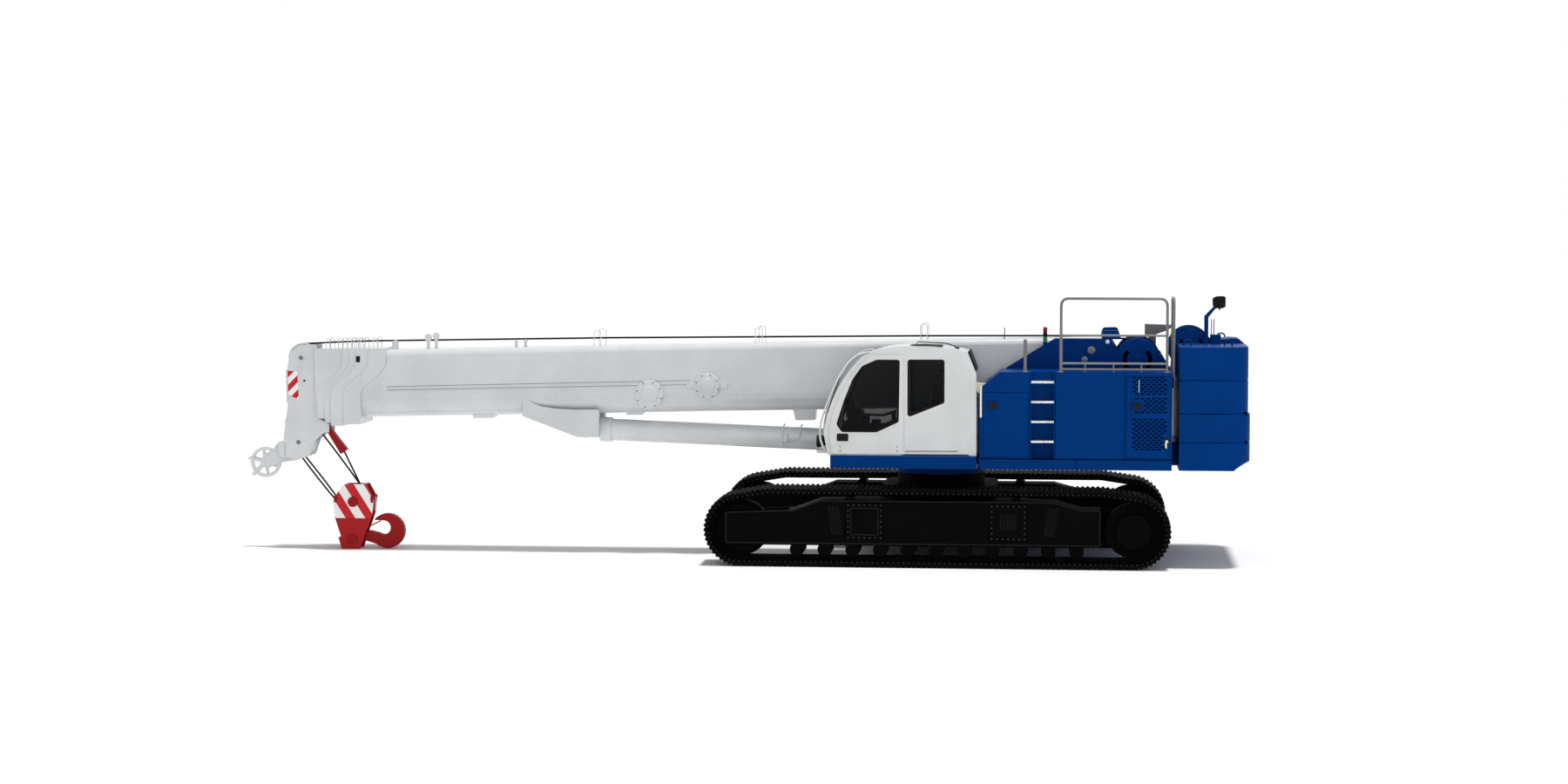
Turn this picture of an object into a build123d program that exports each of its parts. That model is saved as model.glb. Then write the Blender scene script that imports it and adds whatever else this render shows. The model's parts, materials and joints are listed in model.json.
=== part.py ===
from build123d import *
import os
from math import acos, atan2, ceil, cos, degrees, hypot, pi, radians, sin

# Telescopic crawler crane, boom retracted and lowered, crawlers retracted.
# All lengths are millimetres. +X is forward, +Y is the cab's side and +Z is up.
# Sub-parts are drawn from the slewing axis at ground level; SLEW_X at the end moves that
# axis so that the origin lies under the middle of the whole machine.

os.makedirs("parts", exist_ok=True)

FIT = 0.3          # running clearance at pins, pads and bearings
CLEAR = 6.0        # clearance between other moving pieces

# ---- Crawlers -------------------------------------------------------------------------
TRACK_Y = 1370.0           # centre line of a track from the machine's centre, retracted
SHOE_WIDTH = 760.0
WHEEL_X = 2810.0           # idler in front, sprocket behind
WHEEL_Z = 530.0
TIP_RADIUS = 530.0         # grouser tips round the wheels
TOP_RUN_Z = 1130.0         # grouser tips of the upper run
TOP_RUN_FRONT = 2400.0
TOP_RUN_REAR = -2350.0
GROUSER_PITCH = 73.8
GROUSER_HEIGHT = 28.0
SHOE_INSET = 60.0          # inner face of the shoes, in from the tips
LINK_INSET = 130.0         # running face of the chain links, in from the tips
LINK_WIDTH = 210.0
ROLLER_RADIUS = 105.0
ROLLER_COUNT = 11
ROLLER_PITCH = 400.0
CARRIER_RADIUS = 85.0
CARRIER_X = (1250.0, -1150.0)
FRAME_OUTER_Y = 1600.0
FRAME_INNER_Y = 1130.0
FRAME_LOW_Z = 311.0
FRAME_TOP_Z = 949.0
FRAME_END_Z = 800.0        # top of the frame beyond its shoulders
FRAME_SHOULDER_X = 1660.0
FRAME_NECK_X = 2070.0
FRAME_FRONT_X = 3044.0
FRAME_REAR_X = -2335.0
CHEEK_THICK = 42.0
IDLER_WIDTH = 300.0
SPROCKET_WIDTH = 120.0
HUB_RADIUS = 250.0
CRAWLER_STROKE = 750.0     # each crawler slides out by this much

# ---- Axles and carbody ----------------------------------------------------------------
AXLE_X = 1027.0            # centre lines of the two cross axles, in front and behind
AXLE_Z = 647.0
BEAM_LENGTH_X = 420.0
BEAM_HEIGHT = 400.0
BEAM_WALL = 40.0
BEAM_END_Y = 22.0
SLEEVE_WALL = 45.0
SLEEVE_END_Y = 1100.0
CARBODY_X = 830.0
CARBODY_Y = 720.0
CARBODY_LOW_Z = 480.0
CARBODY_TOP_Z = 1080.0
RING_RADIUS = 640.0
RING_BORE = 500.0
RING_SPLIT_Z = 1240.0

# ---- Superstructure -------------------------------------------------------------------
DECK_Z = 1400.0
SILL_TOP_Z = 1545.0
CAB_FLOOR_Z = 1585.0
BODY_Y = 1500.0            # half width of the upper works
DECK_FRONT_X = 1530.0
DECK_REAR_X = -3340.0
BALLAST_FRONT_X = -3440.0
BALLAST_REAR_X = -4450.0
CAB_GAP_X = (-570.0, -610.0)
CENTRE_PLATE_TOP = 1450.0
SEAT_PLATE = 80.0                  # thickness of the plate that the ballast hangs against
TOWER_INNER_Y = 450.0
TOWER_OUTER_Y = 600.0
TOWER_SLOPE = ((-700.0, 2640.0), (-1671.0, 3234.0))
HOUSING_INNER_Y = 650.0
HOUSING_TOP_Z = 2795.0
HOUSING_WALL = 30.0
LADDER_X = (-1343.0, -1667.0)
LADDER_DEPTH = 190.0
LADDER_STEPS_Z = (1815.0, 2099.0, 2383.0, 2667.0)
DOOR_GAP = 6.0
KNUCKLE_RADIUS = 8.0
FRONT_DOOR_X = (-660.0, -1300.0)
REAR_DOOR_X = (-2700.0, -3310.0)
DOOR_LOW_Z = 1580.0
FRONT_DOOR_TOP_Z = 2500.0
REAR_DOOR_TOP_Z = 2740.0

# ---- Ballast --------------------------------------------------------------------------
SLAB_LEVELS = (1400.0, 1805.0, 2214.0, 2689.0, 3166.0)
BALLAST_CORNER = 270.0
NOTCH_Y = 350.0
NOTCH_REAR_X = -4010.0

# ---- Boom -----------------------------------------------------------------------------
FOOT_X = -2200.0
FOOT_Z = 3067.0
BOOM_TILT = 1.3            # degrees below level
BOOM_TOP = 178.0           # above the foot pin, square to the boom
BOOM_DEPTH = 1010.0
BOOM_WIDTH = 720.0
BOOM_WALL = 14.0
SECTION_GAP = 26.0
SECTION_COUNT = 5
TOP_CORNER = 85.0
BOTTOM_CORNER = 280.0
CORNER_STEP = 30.0
COLLAR_REAR = 10865.0
COLLAR_LIFT = 30.0         # collars stand this much above the base section
PIN_RADIUS = 55.0
FOOT_BEVEL = 380.0
BRACKET_Y = (BOOM_WIDTH / 2 - 110, BOOM_WIDTH / 2 - 10)
PAD_SETBACK = 20.0
MOUTH_PAD_SETBACK = 760.0
PAD_WIDTH = 260.0
PAD_LENGTH = 300.0

# ---- Luffing cylinder -----------------------------------------------------------------
CYLINDER_X = 300.0
CYLINDER_Z = 1642.0
EYE_X = 5300.0
EYE_Z = 1832.0
BARREL_RADIUS = 163.0
GLAND_RADIUS = 185.0
GLAND_LENGTH = 170.0
ROD_RADIUS = 105.0

# ---- Head, hook block and hook: centre X, centre Z, radius -----------------------------
HEAD_CHEEK_Y = (172.0, 200.0)
HEAD_PIN = 45.0
HEAD_SHEAVE_Y = (-95.0, 0.0, 95.0)
ROOSTER_PIN = 32.0
SOCKET_PIN = (9235.0, 1810.0)
SOCKET_END = (8990.0, 1455.0)
SOCKET_PIN_RADIUS = 24.0
JIB_BORE = (9549.0, 2533.0)
JIB_BORE_RADIUS = 20.0
BLOCK_CHEEK_Y = (110.0, 135.0)
BLOCK_PIN = 45.0
HEAD_SHEAVE = (9590.0, 2880.0, 215.0)
LOWER_SHEAVE = (9640.0, 1610.0, 215.0)
ROOSTER_SHEAVE = (10206.0, 1296.0, 256.0)
BLOCK_SHEAVE = (8838.0, 707.0, 220.0)
CROSSHEAD = (8850.0, 143.0)
HOOK_BOWL = (8332.0, 266.0)
HOOK_RADIUS = 262.0


def side_plane(y):
    """Plane of a side view at the given Y, drawn in X and Z."""
    return Plane(origin=(0, y, 0), x_dir=(1, 0, 0), z_dir=(0, -1, 0))


BOOM_DIR = Vector(cos(radians(BOOM_TILT)), 0, -sin(radians(BOOM_TILT)))
BOOM_UP = Vector(sin(radians(BOOM_TILT)), 0, cos(radians(BOOM_TILT)))
FOOT = Vector(FOOT_X, 0, FOOT_Z)


def boom_side(y):
    """Side plane of the boom: x along it from the foot pin, y square to it and up."""
    return Plane(origin=FOOT + Vector(0, y, 0), x_dir=BOOM_DIR, z_dir=(0, -1, 0))


def boom_cross(x):
    """Plane square to the boom at x from the foot pin, facing the tip; its x is +Y."""
    return Plane(origin=FOOT + BOOM_DIR * x, x_dir=(0, 1, 0), z_dir=BOOM_DIR)


def boom_xz(point):
    """Place in boom_side of a point given as X and Z."""
    arm = Vector(point[0], 0, point[1]) - FOOT
    return (arm.dot(BOOM_DIR), arm.dot(BOOM_UP))


SLEW_X = -(ROOSTER_SHEAVE[0] + ROOSTER_SHEAVE[2] + BALLAST_REAR_X) / 2


def save(piece, name):
    """Name a finished piece, set it in the machine's frame and write it."""
    piece.part.label = name
    placed = piece.part.moved(Location((SLEW_X, 0, 0)))
    placed.label = name
    export_step(placed, f"parts/{name}.step")


# ---- Tracks ---------------------------------------------------------------------------
def belt_stations():
    """Corners of the belt as (centre x, centre z, radius of the tips), anticlockwise."""
    hump = 400.0
    return (
        (-WHEEL_X, WHEEL_Z, TIP_RADIUS),
        (WHEEL_X, WHEEL_Z, TIP_RADIUS),
        (TOP_RUN_FRONT, TOP_RUN_Z - hump, hump),
        (TOP_RUN_REAR, TOP_RUN_Z - hump, hump),
    )


def belt_point(distance, inset):
    """Point of the belt at a distance along the tips, set in from them by inset."""
    stations = belt_stations()
    for here, after, before in zip(stations, stations[1:] + stations[:1], stations[-1:] + stations[:-1]):
        start, stop = tangent_angle(before, here), tangent_angle(here, after)
        sweep = (stop - start) % (2 * pi)
        arc = sweep * here[2]
        radius = here[2] - inset
        if distance <= arc:
            angle = start + distance / here[2]
            return (here[0] + radius * cos(angle), here[1] + radius * sin(angle))
        distance -= arc
        end = (here[0] + here[2] * cos(stop), here[1] + here[2] * sin(stop))
        run = hypot(after[0] - here[0], after[1] - here[1])
        run = (run ** 2 - (here[2] - after[2]) ** 2) ** 0.5
        if distance <= run:
            along = stop + pi / 2
            x = end[0] + distance * cos(along) - inset * cos(stop)
            return (x, end[1] + distance * sin(along) - inset * sin(stop))
        distance -= run
    return belt_point(0, inset)


def tangent_angle(here, after):
    """Angle of the outward normal of the straight run from one station to the next."""
    heading = atan2(after[1] - here[1], after[0] - here[0])
    gap = hypot(after[0] - here[0], after[1] - here[1])
    return heading - pi / 2 + (pi / 2 - acos((here[2] - after[2]) / gap))


def belt_length():
    """Length of the belt along the grouser tips."""
    stations = belt_stations()
    total = 0.0
    for here, after, before in zip(stations, stations[1:] + stations[:1], stations[-1:] + stations[:-1]):
        total += ((tangent_angle(here, after) - tangent_angle(before, here)) % (2 * pi)) * here[2]
        gap = hypot(after[0] - here[0], after[1] - here[1])
        total += (gap ** 2 - (here[2] - after[2]) ** 2) ** 0.5
    return total


def tip_loop(count):
    """Closed list of points that run from tip to root and back, count grousers in all."""
    step = belt_length() / (2 * count)
    return [belt_point(i * step, GROUSER_HEIGHT * (i % 2)) for i in range(2 * count)]


def belt_face(inset):
    """Face inside the belt at a depth below the tips, bounded by arcs and straight runs."""
    with BuildSketch() as face:
        with BuildLine():
            for x, z, radius in belt_stations():
                CenterArc((x, z), radius - inset, 0, 360)
        make_hull()
    return face.sketch


def track(side, name):
    """Shoes with triangular grousers in the outline, and the chain links inside them."""
    with BuildPart() as shoes:
        with BuildSketch(side_plane(side * TRACK_Y)):
            with BuildLine():
                Polyline(*tip_loop(round(belt_length() / GROUSER_PITCH)), close=True)
            make_face()
            add(belt_face(SHOE_INSET), mode=Mode.SUBTRACT)
        extrude(amount=SHOE_WIDTH / 2, both=True)
        with BuildSketch(side_plane(side * TRACK_Y)):
            add(belt_face(SHOE_INSET - 8))
            add(belt_face(LINK_INSET), mode=Mode.SUBTRACT)
        extrude(amount=LINK_WIDTH / 2, both=True)
    save(shoes, name)


# ---- Crawler frames -------------------------------------------------------------------
def crawler_frame(side, name):
    """Side frame with its rollers, idler fork, drive arm and the two sliding beams."""
    outer, inner = side * FRAME_OUTER_Y, side * FRAME_INNER_Y
    middle, half = (outer + inner) / 2, abs(outer - inner) / 2
    roller_z = LINK_INSET + FIT + ROLLER_RADIUS
    carrier_z = TOP_RUN_Z - LINK_INSET - FIT - CARRIER_RADIUS
    fork_x = FRAME_NECK_X + 60
    with BuildPart() as frame:
        with BuildSketch(side_plane(middle)):
            with BuildLine():
                Polyline((FRAME_REAR_X, FRAME_LOW_Z), (FRAME_FRONT_X, FRAME_LOW_Z),
                         (FRAME_FRONT_X, FRAME_END_Z - 30), (FRAME_NECK_X, FRAME_END_Z),
                         (FRAME_SHOULDER_X, FRAME_TOP_Z), (-FRAME_SHOULDER_X, FRAME_TOP_Z),
                         (-FRAME_NECK_X, FRAME_END_Z + 40), (FRAME_REAR_X, FRAME_END_Z + 40), close=True)
            make_face()
        extrude(amount=half, both=True)
        with BuildSketch(side_plane(middle)):
            with Locations(((fork_x + FRAME_FRONT_X + 100) / 2, WHEEL_Z)):
                Rectangle(FRAME_FRONT_X + 100 - fork_x, FRAME_TOP_Z)
        extrude(amount=half - CHEEK_THICK, both=True, mode=Mode.SUBTRACT)
        with BuildSketch(side_plane(inner + side * CHEEK_THICK / 2)):
            with BuildLine():
                Polyline((FRAME_REAR_X + 100, FRAME_LOW_Z), (FRAME_REAR_X + 100, FRAME_END_Z),
                         (-WHEEL_X, FRAME_END_Z - 20), (-WHEEL_X, FRAME_LOW_Z + 20), close=True)
            make_face()
            with Locations((-WHEEL_X, WHEEL_Z)):
                Circle(HUB_RADIUS)
        extrude(amount=CHEEK_THICK / 2, both=True)
        with BuildSketch(side_plane(side * TRACK_Y)):
            with Locations((0, roller_z)):
                with GridLocations(ROLLER_PITCH, 0, ROLLER_COUNT, 1):
                    Circle(ROLLER_RADIUS)
            with Locations(*[(x, carrier_z) for x in CARRIER_X]):
                Circle(CARRIER_RADIUS)
        extrude(amount=LINK_WIDTH, both=True)
        for axle in (AXLE_X, -AXLE_X):
            with BuildSketch(side_plane(inner)):
                with Locations((axle, AXLE_Z)):
                    Rectangle(BEAM_LENGTH_X, BEAM_HEIGHT)
                    Rectangle(BEAM_LENGTH_X - 2 * BEAM_WALL, BEAM_HEIGHT - 2 * BEAM_WALL,
                              mode=Mode.SUBTRACT)
            extrude(amount=side * (FRAME_INNER_Y - BEAM_END_Y))
            with BuildSketch(side_plane(outer)):
                with Locations((axle, AXLE_Z)):
                    Rectangle(530, 520)
            extrude(amount=-side * 22)
    save(frame, name)


def wheels(side, name):
    """Idler on its shaft between the fork's cheeks, and sprocket with its drive hub."""
    centre = side * TRACK_Y
    rim = TIP_RADIUS - LINK_INSET - FIT
    fork = (FRAME_OUTER_Y - FRAME_INNER_Y) / 2 - CHEEK_THICK - FIT
    middle = side * (FRAME_OUTER_Y + FRAME_INNER_Y) / 2
    with BuildPart() as pair:
        with BuildSketch(side_plane(centre)):
            with Locations((WHEEL_X, WHEEL_Z), (-WHEEL_X, WHEEL_Z)):
                Circle(rim)
        extrude(amount=SPROCKET_WIDTH / 2, both=True)
        with BuildSketch(side_plane(middle)):
            with Locations((WHEEL_X, WHEEL_Z)):
                Circle(90)
        extrude(amount=fork, both=True)
        with BuildSketch(side_plane(side * (FRAME_INNER_Y + CHEEK_THICK + FIT))):
            with Locations((-WHEEL_X, WHEEL_Z)):
                Circle(HUB_RADIUS)
        extrude(amount=-side * (FRAME_OUTER_Y - FRAME_INNER_Y - CHEEK_THICK - FIT))
        with BuildSketch(side_plane(centre)):
            with Locations((WHEEL_X, WHEEL_Z)):
                Circle(rim - 60)
        extrude(amount=IDLER_WIDTH / 2, both=True)
    save(pair, name)


def carbody():
    """Centre box, two pairs of axle sleeves and the fixed half of the slewing ring."""
    pads = 2 * FIT
    hole = (BEAM_LENGTH_X + 2 * CLEAR, BEAM_HEIGHT + pads)
    with BuildPart() as body:
        with BuildSketch(Plane.XY.offset(CARBODY_LOW_Z)):
            Rectangle(2 * CARBODY_X, 2 * CARBODY_Y)
            chamfer(vertices(), 180)
        extrude(amount=CARBODY_TOP_Z - CARBODY_LOW_Z)
        with BuildSketch(Plane.XY.offset(CARBODY_TOP_Z)):
            Circle(RING_RADIUS)
        extrude(amount=RING_SPLIT_Z - FIT - CARBODY_TOP_Z)
        with BuildSketch(side_plane(0)):
            with Locations((AXLE_X, AXLE_Z), (-AXLE_X, AXLE_Z)):
                Rectangle(hole[0] + 2 * SLEEVE_WALL, hole[1] + 2 * SLEEVE_WALL)
        extrude(amount=SLEEVE_END_Y, both=True)
        with BuildSketch(side_plane(0)):
            with Locations((AXLE_X, AXLE_Z), (-AXLE_X, AXLE_Z)):
                Rectangle(*hole)
        extrude(amount=SLEEVE_END_Y, both=True, mode=Mode.SUBTRACT)
        with BuildSketch(Plane.XY.offset(CARBODY_LOW_Z)):
            Circle(RING_BORE)
        extrude(amount=RING_SPLIT_Z - CARBODY_LOW_Z, mode=Mode.SUBTRACT)
    save(body, "carbody")


# ---- Superstructure -------------------------------------------------------------------
def deck():
    """Revolving frame: ring, centre plate, side platforms and cylinder lugs."""
    with BuildPart() as frame:
        with BuildSketch(Plane.XY.offset(RING_SPLIT_Z)):
            Circle(RING_RADIUS)
            Circle(RING_BORE, mode=Mode.SUBTRACT)
        extrude(amount=DECK_Z - RING_SPLIT_Z)
        with BuildSketch(Plane.XY.offset(DECK_Z)):
            with Locations(((CAB_GAP_X[0] + 1000) / 2, 0)):
                Rectangle(1000 - CAB_GAP_X[0], 2 * TOWER_OUTER_Y)
            with Locations(((DECK_REAR_X + CAB_GAP_X[0]) / 2, 0)):
                Rectangle(CAB_GAP_X[0] - DECK_REAR_X, 2 * TOWER_OUTER_Y)
            with Locations((BALLAST_FRONT_X + 100, 0)):
                Rectangle(200, 2 * TOWER_OUTER_Y)
        extrude(amount=CENTRE_PLATE_TOP - DECK_Z)
        with BuildSketch(Plane.XY.offset(DECK_Z)):
            with Locations((BALLAST_FRONT_X + SEAT_PLATE / 2, 0)):
                Rectangle(SEAT_PLATE, 2 * TOWER_OUTER_Y)
        extrude(amount=SLAB_LEVELS[1] - DECK_Z - 60)
        for side in (1, -1):
            edge = (TOWER_OUTER_Y - 80 + BODY_Y) / 2
            with BuildSketch(Plane.XY.offset(DECK_Z)):
                with Locations(((DECK_FRONT_X + CAB_GAP_X[0]) / 2, side * edge)):
                    Rectangle(DECK_FRONT_X - CAB_GAP_X[0], BODY_Y - TOWER_OUTER_Y + 80)
            extrude(amount=CAB_FLOOR_Z - DECK_Z)
            with BuildSketch(Plane.XY.offset(DECK_Z)):
                with Locations(((DECK_REAR_X + CAB_GAP_X[1]) / 2, side * (TOWER_OUTER_Y + BODY_Y) / 2)):
                    Rectangle(CAB_GAP_X[1] - DECK_REAR_X, BODY_Y - TOWER_OUTER_Y)
            extrude(amount=SILL_TOP_Z - DECK_Z)
            with BuildSketch(side_plane(side * 145)):
                with BuildLine():
                    Polyline((CYLINDER_X - 260, CENTRE_PLATE_TOP - 10),
                             (CYLINDER_X + 135, CENTRE_PLATE_TOP - 10),
                             (CYLINDER_X + 135, CYLINDER_Z + 40), (CYLINDER_X + 80, CYLINDER_Z + 90),
                             (CYLINDER_X - 80, CYLINDER_Z + 90), (CYLINDER_X - 135, CYLINDER_Z),
                             close=True)
                make_face()
                with Locations((CYLINDER_X, CYLINDER_Z)):
                    Circle(60, mode=Mode.SUBTRACT)
            extrude(amount=25, both=True)
        with BuildSketch(side_plane(0)):
            with Locations((CYLINDER_X, CYLINDER_Z)):
                Circle(60)
        extrude(amount=175, both=True)
    save(frame, "revolving_frame")


def tower_slope(x):
    """Height of the tower plates' sloping front edge at x."""
    (x0, z0), (x1, z1) = TOWER_SLOPE
    return z0 + (x - x0) * (z1 - z0) / (x1 - x0)


def towers():
    """Two side plates that carry the boom's foot pin, the winches and the ballast."""
    with BuildPart() as plates:
        for side in (1, -1):
            with BuildSketch(side_plane(side * (TOWER_INNER_Y + TOWER_OUTER_Y) / 2)):
                with BuildLine():
                    Polyline((TOWER_SLOPE[0][0], CENTRE_PLATE_TOP), *TOWER_SLOPE, (-2480, 3234),
                             (-2620, 3010), (-3220, 3010), (DECK_REAR_X, 2800),
                             (DECK_REAR_X, CENTRE_PLATE_TOP), close=True)
                make_face()
                with Locations((FOOT_X, FOOT_Z)):
                    Circle(PIN_RADIUS + FIT, mode=Mode.SUBTRACT)
            extrude(amount=(TOWER_OUTER_Y - TOWER_INNER_Y) / 2, both=True)
    save(plates, "tower_plates")


CAB_INNER_Y = 560.0
CAB_OUTER_Y = 1465.0
CAB_WALL = 45.0
DOOR_SKIN_Y = (1470.0, 1500.0)     # inner and outer face of the sliding door


def cab_outline(inset):
    """Side outline of the cab, set in by inset."""
    with BuildSketch() as outline:
        with BuildLine():
            front_low = (1567, CAB_FLOOR_Z)
            chin = (1628, 1900)
            brow = (1065, 3015)
            Line((-566, CAB_FLOOR_Z), front_low)
            Line(front_low, chin)
            ThreePointArc(chin, (1462, 2462), brow)
            ThreePointArc(brow, (700, 3128), (315, 3148))
            ThreePointArc((315, 3148), (-80, 3132), (-436, 3072))
            Line((-436, 3072), (-561, 2764))
            Line((-561, 2764), (-566, CAB_FLOOR_Z))
        make_face()
        if inset:
            offset(amount=-inset, mode=Mode.REPLACE)
    return outline.sketch


def door_outline():
    """Outline of the door leaf, following the cab's front pillar."""
    with BuildSketch() as outline:
        with BuildLine():
            Line((480, 1610), (1500, 1610))
            Line((1500, 1610), (1545, 1900))
            ThreePointArc((1545, 1900), (1395, 2440), (1030, 2960))
            Line((1030, 2960), (960, 3030))
            Line((960, 3030), (480, 3030))
            Line((480, 3030), (480, 1610))
        make_face()
    return outline.sketch


def door_window():
    """Glazed opening of the door."""
    with BuildSketch() as outline:
        with BuildLine():
            FilletPolyline((1364, 1920), (862, 1920), (545, 2070), (532, 2963), (864, 2963), (1075, 2868),
                           (1210, 2680), (1330, 2380), (1441, 2035), close=True, radius=40)
        make_face()
    return outline.sketch


def rear_window():
    """Glazed opening behind the door."""
    with BuildSketch() as outline:
        with BuildLine():
            FilletPolyline((424, 2130), (424, 2966), (-108, 2968), (-108, 2345), close=True, radius=40)
        make_face()
    return outline.sketch


def windscreen_band():
    """Everything in front of the front pillars, for cutting the windscreen and the roof light."""
    with BuildSketch() as outline:
        with BuildLine():
            Polyline((1500, 1760), (1800, 1760), (1800, 3300), (980, 3300), (1000, 2975), (1300, 2600),
                     (1490, 2150), (1540, 1900), close=True)
        make_face()
    return outline.sketch


def cab_shell():
    """Hollow cab with its doorway and windows cut."""
    centre, half = (CAB_INNER_Y + CAB_OUTER_Y) / 2, (CAB_OUTER_Y - CAB_INNER_Y) / 2
    with BuildPart() as shell:
        with BuildSketch(side_plane(centre)):
            add(cab_outline(0))
        extrude(amount=half, both=True)
        with BuildSketch(side_plane(centre)):
            add(cab_outline(CAB_WALL))
        extrude(amount=half - CAB_WALL, both=True, mode=Mode.SUBTRACT)
        with BuildSketch(side_plane(CAB_OUTER_Y)):
            add(door_outline())
            offset(amount=-60, mode=Mode.REPLACE)
        extrude(amount=CAB_WALL, mode=Mode.SUBTRACT)
        with BuildSketch(side_plane(CAB_OUTER_Y)):
            add(rear_window())
        extrude(amount=CAB_WALL, mode=Mode.SUBTRACT)
        with BuildSketch(side_plane(CAB_INNER_Y)):
            add(door_window())
            add(rear_window())
        extrude(amount=-CAB_WALL, mode=Mode.SUBTRACT)
        with BuildSketch(side_plane(centre)):
            add(windscreen_band())
        extrude(amount=half - CAB_WALL, both=True, mode=Mode.SUBTRACT)
        with BuildSketch(Plane.YZ.offset(-620)):
            with Locations((centre, 2720)):
                RectangleRounded(2 * half - 180, 420, 60)
        extrude(amount=200, mode=Mode.SUBTRACT)
    save(shell, "cab_shell")


def cab_glass():
    """Fixed panes: windscreen, rear side, inner side and back."""
    centre, half = (CAB_INNER_Y + CAB_OUTER_Y) / 2, (CAB_OUTER_Y - CAB_INNER_Y) / 2
    with BuildPart() as panes:
        with BuildSketch(side_plane(centre)):
            add(cab_outline(12))
        extrude(amount=half - CAB_WALL, both=True)
        with BuildSketch(side_plane(centre)):
            add(cab_outline(22))
        extrude(amount=half, both=True, mode=Mode.SUBTRACT)
        with BuildSketch(side_plane(centre)):
            add(windscreen_band())
        extrude(amount=half, both=True, mode=Mode.INTERSECT)
        with BuildSketch(side_plane(CAB_OUTER_Y - 15)):
            add(rear_window())
        extrude(amount=10)
        with BuildSketch(side_plane(CAB_INNER_Y + 25)):
            add(rear_window())
            add(door_window())
        extrude(amount=10)
    save(panes, "cab_glass")


def cab_door():
    """Door leaf with its window cut; it slides back outside the rear panel."""
    with BuildPart() as leaf:
        with BuildSketch(side_plane(DOOR_SKIN_Y[1])):
            add(door_outline())
        extrude(amount=DOOR_SKIN_Y[1] - DOOR_SKIN_Y[0])
        with BuildSketch(side_plane(DOOR_SKIN_Y[1])):
            add(door_window())
        extrude(amount=DOOR_SKIN_Y[1] - DOOR_SKIN_Y[0], mode=Mode.SUBTRACT)
        with BuildSketch(side_plane(DOOR_SKIN_Y[0])):
            with Locations((700, 1620), (1300, 1620), (700, 3015)):
                Rectangle(90, 16)
        extrude(amount=DOOR_SKIN_Y[0] - CAB_OUTER_Y - FIT)
    save(leaf, "cab_door")
    with BuildPart() as pane:
        with BuildSketch(side_plane(DOOR_SKIN_Y[1] - 10)):
            add(door_window())
        extrude(amount=8)
    save(pane, "cab_door_glass")


def cab_interior():
    """Driver's seat on its pedestal, and the console in front of it."""
    middle = (CAB_INNER_Y + CAB_OUTER_Y) / 2
    floor = CAB_FLOOR_Z + CAB_WALL
    with BuildPart() as seat:
        with BuildSketch(side_plane(middle)):
            with BuildLine():
                Polyline((150, floor), (500, floor), (500, floor + 300), (640, floor + 330),
                         (640, floor + 450), (200, floor + 430), (60, floor + 1150), (-60, floor + 1150),
                         (60, floor + 300), (150, floor + 300), close=True)
            make_face()
        extrude(amount=230, both=True)
    save(seat, "cab_seat")
    with BuildPart() as console:
        with BuildSketch(side_plane(middle)):
            with BuildLine():
                Polyline((1120, floor), (1420, floor), (1450, floor + 260), (1180, floor + 620),
                         (1080, floor + 560), close=True)
            make_face()
        extrude(amount=220, both=True)
    save(console, "cab_console")


# ---- Housings -------------------------------------------------------------------------
def housing_outline(inset):
    """Side outline of a housing with its sloping front, set in by inset."""
    with BuildSketch() as outline:
        with BuildLine():
            Polyline((DECK_REAR_X + inset, SILL_TOP_Z + (0 if inset == 0 else inset)),
                     (CAB_GAP_X[1] - inset, SILL_TOP_Z + inset), (CAB_GAP_X[1] - inset, 2560 - inset),
                     (-900 - inset / 2, HOUSING_TOP_Z - inset), (DECK_REAR_X + inset, HOUSING_TOP_Z - inset),
                     close=True)
        make_face()
    return outline.sketch


def housing(side, name, doors, ladder):
    """Hollow engine housing with door openings (front x, rear x, top z) and the ladder's recess."""
    centre = side * (HOUSING_INNER_Y + BODY_Y) / 2
    half = (BODY_Y - HOUSING_INNER_Y) / 2
    with BuildPart() as shell:
        with BuildSketch(side_plane(centre)):
            add(housing_outline(0))
        extrude(amount=half, both=True)
        with BuildSketch(side_plane(centre)):
            add(housing_outline(HOUSING_WALL))
        extrude(amount=half - HOUSING_WALL, both=True, mode=Mode.SUBTRACT)
        if ladder:
            middle, width = sum(LADDER_X) / 2, LADDER_X[0] - LADDER_X[1]
            with BuildSketch(side_plane(side * BODY_Y)):
                with Locations((middle, (SILL_TOP_Z + HOUSING_TOP_Z) / 2)):
                    Rectangle(width + 2 * HOUSING_WALL, HOUSING_TOP_Z - SILL_TOP_Z)
            extrude(amount=side * (LADDER_DEPTH + HOUSING_WALL))
            with BuildSketch(side_plane(side * BODY_Y)):
                with Locations((middle, (SILL_TOP_Z + HOUSING_TOP_Z) / 2)):
                    Rectangle(width, HOUSING_TOP_Z - SILL_TOP_Z)
            extrude(amount=side * LADDER_DEPTH, mode=Mode.SUBTRACT)
        for front_x, rear_x, top_z in doors:
            with BuildSketch(side_plane(side * BODY_Y)):
                with Locations(((front_x + rear_x) / 2, (DOOR_LOW_Z + top_z) / 2)):
                    Rectangle(front_x - rear_x + 2 * DOOR_GAP, top_z - DOOR_LOW_Z + 2 * DOOR_GAP)
            extrude(amount=side * HOUSING_WALL, mode=Mode.SUBTRACT)
    save(shell, name)


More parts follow.
